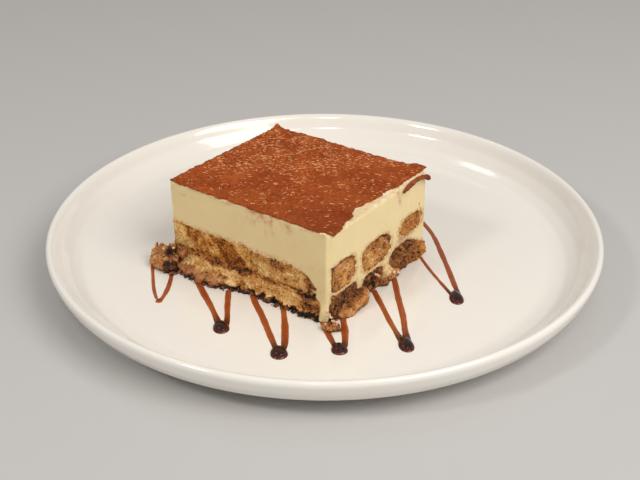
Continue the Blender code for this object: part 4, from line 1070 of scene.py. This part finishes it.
def cream_fleck(middle, size, seed):
    """A torn bit of cream: a flat ellipsoid over latitude and longitude, strongly roughened."""
    heading = round_grid(20, 30)[2]
    grid = np.array(middle) + heading * size * np.array([1.0, 0.8, 0.62])
    grid = grid + heading * (0.6 * size * rough_noise(grid, 0.8 * size, seed, 3))[..., None]
    blush = smoothstep(rough_noise(grid, 1.0, seed + 40), 0.0, 0.5)
    tint = mix(screen(232, 204, 166) + 0.0 * grid, screen(206, 142, 108), 0.8 * blush)
    return closed_part(grid, tint, 0.0 * blush)


def make_crumbs(sponge, cream):
    """Crumbs stuck along the slice's foot and round the lumps, and the torn flecks of cream."""
    draw = np.random.default_rng(81)
    x = draw.uniform(-45.0, 38.0, 170)
    y = front_face(x, np.full_like(x, SLICE_BASE)) - draw.normal(-0.2, 0.6, len(x))
    side_y = draw.uniform(-54.0, 21.0, 60)
    side_x = 42.9 + draw.normal(0.0, 0.6, len(side_y)) + 3.8 * bump((side_y + 38.5) / 9.0)
    around = np.column_stack([draw.uniform(-54.0, -41.0, 44), draw.normal(-64.6, 0.7, 44)])
    corner = draw.normal((45.6, -59.4), (2.0, 0.9), (26, 2))
    y = y - 2.0 * smoothstep(-x, 11.0, 20.0)
    plan = np.concatenate([np.column_stack([x, y]), np.column_stack([side_x, side_y]), around, corner])
    sizes = 0.36 + 0.8 * draw.uniform(size=len(plan)) ** 2.0
    centres = np.column_stack([plan, WELL_FLOOR + 0.4 * sizes + 1.0 * draw.uniform(size=len(plan)) ** 2])
    soak = draw.uniform(0.6, 1.0, len(plan))
    part = scattered(centres, sizes, np.array([1.1, 0.95, 0.85]), soaked_colour(soak), soak * 0.5, draw)
    mesh_piece("stuck_crumbs", [part], sponge)
    parts = [cream_fleck(middle, size, 500 + index) for index, (middle, size) in enumerate(CREAM_FLECKS)]
    mesh_piece("cream_flecks", parts, cream)


# The sauce.

# Each zigzag has its strokes, as a route over the plate and a width, and its drops, as a middle, a width
# and a length.
WIDE, THIN = 3.1, 2.2
SAUCE = {
    "front_1": ([([(-60.4, -58.6), (-57.0, -63.8), (-49.2, -71.9), (-40.7, -80.2), (-33.2, -86.2)], 1.9),
                 ([(-31.0, -86.4), (-34.4, -78.6), (-39.0, -71.0), (-44.6, -63.4)], 2.5)],
                [((-31.8, -86.2), 3.4, 4.2)]),
    "front_2": ([([(-33.0, -59.8), (-29.8, -62.1), (-20.4, -68.6), (-10.3, -75.1), (-1.0, -81.6),
                   (5.4, -86.6)], WIDE),
                 ([(7.0, -85.2), (3.5, -79.5), (-3.0, -71.6), (-9.4, -63.4), (-12.0, -60.0)], WIDE)],
                [((5.4, -86.0), 7.3, 11.2)]),
    "front_3": ([([(0.0, -57.0), (4.7, -61.1), (14.1, -67.9), (22.5, -74.6), (31.3, -81.6),
                   (37.6, -86.6)], 3.3),
                 ([(39.2, -85.0), (36.0, -79.4), (27.9, -68.7), (18.7, -58.0), (16.0, -55.0)], 3.3)],
                [((38.2, -86.4), 7.6, 10.8)]),
    "front_4": ([([(38.0, -54.8), (41.0, -57.6), (47.0, -62.4), (53.6, -67.4), (57.0, -69.8)], WIDE),
                 ([(59.2, -68.2), (57.0, -63.8), (51.7, -56.3), (46.5, -50.0), (44.5, -47.6)], 3.4)],
                [((57.6, -69.0), 7.2, 9.6)]),
    "front_5": ([([(43.0, -20.4), (46.3, -23.2), (55.9, -31.4), (63.9, -38.4), (71.9, -44.8),
                   (78.6, -50.0)], WIDE),
                 ([(79.8, -48.0), (73.5, -41.0), (66.0, -31.0), (56.0, -19.3), (47.2, -8.4),
                   (44.0, -5.0)], 3.3)],
                [((78.9, -49.2), 6.8, 12.6)]),
    "front_6": ([([(44.0, 19.4), (48.6, 15.7), (55.7, 10.3), (63.6, 4.8), (69.9, 0.6), (76.0, -3.6)], THIN),
                 ([(78.6, -1.8), (71.6, 5.6), (61.4, 17.0), (50.3, 29.0), (39.6, 40.2), (30.2, 47.8),
                   (11.5, 61.0)], 2.8),
                 ([(10.5, 60.6), (8.6, 50.0), (3.0, 38.0), (-1.5, 25.5)], 2.8)],
                [((77.6, -3.4), 6.6, 12.6), ((10.6, 60.4), 6.2, 8.0)]),
    "back_1": ([([(-13.0, 25.5), (-16.0, 40.0), (-22.6, 60.6)], 2.8),
                ([(-23.6, 60.6), (-30.0, 46.0), (-37.0, 25.5)], 2.8)],
               [((-23.0, 60.2), 6.2, 8.0)]),
    "back_2": ([([(-43.0, 25.5), (-47.0, 38.0), (-53.6, 50.4)], 2.8),
                ([(-54.6, 50.2), (-57.5, 36.0), (-51.5, 18.0)], 2.8)],
               [((-54.0, 50.0), 6.2, 8.0)]),
    "back_3": ([([(-50.5, 9.0), (-61.0, 17.0), (-71.6, 24.6)], 2.8),
                ([(-72.4, 24.2), (-66.0, 12.0), (-51.0, -8.5)], 2.8)],
               [((-71.8, 24.0), 6.2, 8.0)]),
    "back_4": ([([(-51.0, -17.0), (-62.0, -12.0), (-70.8, -8.4)], 2.8),
                ([(-71.0, -9.4), (-64.0, -19.0), (-51.0, -34.5)], 2.8)],
               [((-70.6, -8.8), 5.6, 7.0)]),
}
# The way that the drops of the longest zigzag point. Any other drop points away from its strokes' starts.
DROP_HEADINGS = {"front_6": ((0.62, -0.78), (0.1, 0.99))}

# A drop wider than this is a deep one. Then the heights of the strokes and of the deep and small drops,
# the lowest level of the sauce, and the lattice on which a zigzag becomes one skin.
DEEP_WIDTH = 4.0
STROKE_HEIGHT, DEEP_HEIGHT, SMALL_HEIGHT = 0.5, 1.75, 0.8
SAUCE_FLOOR = WELL_FLOOR - 0.35
SAUCE_LATTICE, RELAX_ROUNDS = 0.19, 10

# The sauce's colour at each depth over the plate, and beside a deep drop.
SAUCE_DEPTHS = (0.0, 0.25, 0.55, 0.9, 1.25)
SAUCE_COLOURS = np.array([screen(200, 128, 70), screen(172, 90, 40), screen(150, 68, 30),
                          screen(92, 32, 20), screen(40, 15, 12)])
NEAR_DROP = screen(78, 28, 18)


def domed_ribbon(route, width, height):
    """A ridge of sauce along a route: an elliptic section round the plate's face, drawn in at both ends."""
    length = np.linalg.norm(np.diff(np.array(route), axis=0), axis=1).sum()
    path = smooth_route(route, max(24, int(length / 0.5)))
    along = np.gradient(path, axis=0)
    along /= np.linalg.norm(along, axis=1, keepdims=True)
    across = np.column_stack([-along[:, 1], along[:, 0]])
    line = np.column_stack([path, 0.0 * path[:, 0]])
    wobble = 1.0 + 0.16 * rough_noise(line, 7.0, 601)
    taper = np.sqrt(np.clip(np.linspace(0.0, 1.0, len(path)) * len(path) / 3.0, 0.05, 1.0))
    taper = taper * taper[::-1]
    turn = np.linspace(0.0, 2.0 * np.pi, 28, endpoint=False)
    side = 0.5 * width * np.cos(turn)[None, :] * (wobble * taper)[:, None]
    rise = np.sin(turn)[None, :] * (0.15 + height * taper * wobble)[:, None]
    return np.stack([path[:, 0, None] + across[:, 0, None] * side,
                     path[:, 1, None] + across[:, 1, None] * side,
                     np.maximum(WELL_FLOOR - 0.15 + rise, SAUCE_FLOOR)], axis=-1)


def domed_drop(middle, width, length, heading, height, turns=56, levels=30):
    """A drop of sauce: a long round dome over the plate along a heading, fuller at its far end."""
    lift, turn = round_grid(levels, turns)[:2]
    ahead = 0.5 * length * np.cos(turn) * np.cos(lift)
    fuller = 1.0 + 0.22 * np.cos(turn)
    aside = 0.5 * width * fuller * np.sin(turn) * np.cos(lift)
    heading = np.array(heading)
    across = np.array([-heading[1], heading[0]])
    rise = np.maximum(WELL_FLOOR - 0.3 + (height + 0.3) * np.sin(lift), SAUCE_FLOOR)
    return np.stack([middle[0] + heading[0] * ahead + across[0] * aside,
                     middle[1] + heading[1] * ahead + across[1] * aside, rise + 0.0 * turn], axis=-1)


def sauce_tint(points, drops):
    """The sauce's colour by its depth over the plate: amber where it is thin, nearly black where it is deep.

    Round a deep drop its thin parts are a dark reddish brown too.
    """
    depth = points[..., 2] - WELL_FLOOR + 0.06 * rough_noise(points, 3.0, 611)
    tint = ramp(depth, SAUCE_DEPTHS, SAUCE_COLOURS)
    for middle, width, length in drops:
        if width > DEEP_WIDTH:
            near = bump(np.linalg.norm(points[..., :2] - middle, axis=-1) / (0.62 * length))
            shallow = smoothstep(-depth, -1.2, -0.8)
            tint = mix(tint, NEAR_DROP, np.clip(1.5 * near, 0.0, 0.95) * shallow)
    return tint


def make_sauce(finish):
    """Every zigzag of sauce: its ribbons and drops, grown into one smooth skin on a fine lattice."""
    for name, (strokes, drops) in SAUCE.items():
        grids = [domed_ribbon(route, width, STROKE_HEIGHT) for route, width in strokes]
        for index, (middle, width, length) in enumerate(drops):
            heading = np.array(middle) - np.mean([strokes[0][0][0], strokes[-1][0][-1]], axis=0)
            if name in DROP_HEADINGS:
                heading = np.array(DROP_HEADINGS[name][index])
            height = DEEP_HEIGHT if width > DEEP_WIDTH else SMALL_HEIGHT
            grids.append(domed_drop(middle, width, length, heading / np.linalg.norm(heading), height))
        parts = [closed_part(grid, 0.0 * grid, np.ones(grid.shape[:2])) for grid in grids]
        rough = mesh_piece("sauce_zigzag_" + name, parts, finish, ["sauce_" + name])
        lattice = rough.modifiers.new("one_skin", "REMESH")
        lattice.mode, lattice.voxel_size, lattice.use_smooth_shade = "VOXEL", SAUCE_LATTICE * MM, True
        relax = rough.modifiers.new("relaxed", "SMOOTH")
        relax.factor, relax.iterations = 0.5, RELAX_ROUNDS
        skin = bpy.data.meshes.new_from_object(rough.evaluated_get(bpy.context.evaluated_depsgraph_get()))
        rough.modifiers.clear()
        flat = np.empty(3 * len(skin.vertices))
        skin.vertices.foreach_get("co", flat)
        for old in (TINT, DAMP):
            if old in skin.attributes:
                skin.attributes.remove(skin.attributes[old])
        put_tint(skin, sauce_tint(flat.reshape(-1, 3) / MM, drops))
        rough.data = skin
        if not skin.materials:
            skin.materials.append(finish)


# The stage.

def make_stage():
    """A plain pale floor."""
    mesh = bpy.data.meshes.new("pale_floor")
    half = FLOOR_HALF
    mesh.from_pydata([(-half, -half, 0.0), (half, -half, 0.0), (half, half, 0.0), (-half, half, 0.0)], [],
                     [(0, 1, 2, 3)])
    floor = bpy.data.objects.new("pale_floor", mesh)
    bpy.context.scene.collection.objects.link(floor)
    material = bpy.data.materials.new("pale_floor")
    material.use_nodes = True
    shader = material.node_tree.nodes["Principled BSDF"]
    shader.inputs["Base Color"].default_value = FLOOR_COLOUR
    shader.inputs["Roughness"].default_value = FLOOR_ROUGHNESS
    mesh.materials.append(material)


def area_light(name, place, aim, size, power, colour):
    """A square softbox at place, turned to aim."""
    lamp = bpy.data.lights.new(name, "AREA")
    lamp.shape, lamp.size, lamp.size_y = "RECTANGLE", size, size
    lamp.energy, lamp.color = power, colour
    holder = bpy.data.objects.new(name, lamp)
    holder.location = place
    holder.rotation_euler = (Vector(aim) - Vector(place)).to_track_quat("-Z", "Y").to_euler()
    bpy.context.scene.collection.objects.link(holder)


def make_light():
    """Soft light from all round, a softbox above the slice's right, two ceiling panels behind its left,
    and two small lamps in front."""
    world = bpy.data.worlds.new("soft_room")
    world.use_nodes = True
    background = world.node_tree.nodes["Background"]
    background.inputs["Color"].default_value = (*SOFT_LIGHT, 1.0)
    background.inputs["Strength"].default_value = ROOM_STRENGTH
    bpy.context.scene.world = world
    for lamp in LAMPS:
        area_light(*lamp)
    bpy.context.scene.view_settings.view_transform = "Standard"


def make_camera():
    """The camera at the photo's place, worked out from the rim's ellipse and the slice's corners."""
    lens = bpy.data.cameras.new("photo_camera")
    lens.lens, lens.sensor_width = LENS, SENSOR
    lens.clip_start, lens.clip_end = 0.01, 20.0
    camera = bpy.data.objects.new("photo_camera", lens)
    camera.location = CAMERA_PLACE
    camera.rotation_euler = Vector(CAMERA_HEADING).to_track_quat("-Z", "Y").to_euler()
    bpy.context.scene.collection.objects.link(camera)
    bpy.context.scene.camera = camera


def main():
    """Makes the finishes, every piece of the object, then the floor, the light and the camera."""
    finishes = make_finishes()
    make_plate(finishes["glaze"])
    make_cream(finishes["cream"])
    for name, finger in FINGERS.items():
        make_finger(name, finger, finishes["sponge"])
    make_cocoa(finishes["cocoa"])
    make_cocoa_grains(finishes["cocoa"])
    make_curl(finishes["cocoa"])
    make_lumps(finishes["sponge"])
    make_crumbs(finishes["sponge"], finishes["cream"])
    make_sauce(finishes["syrup"])
    make_stage()
    make_light()
    make_camera()


main()
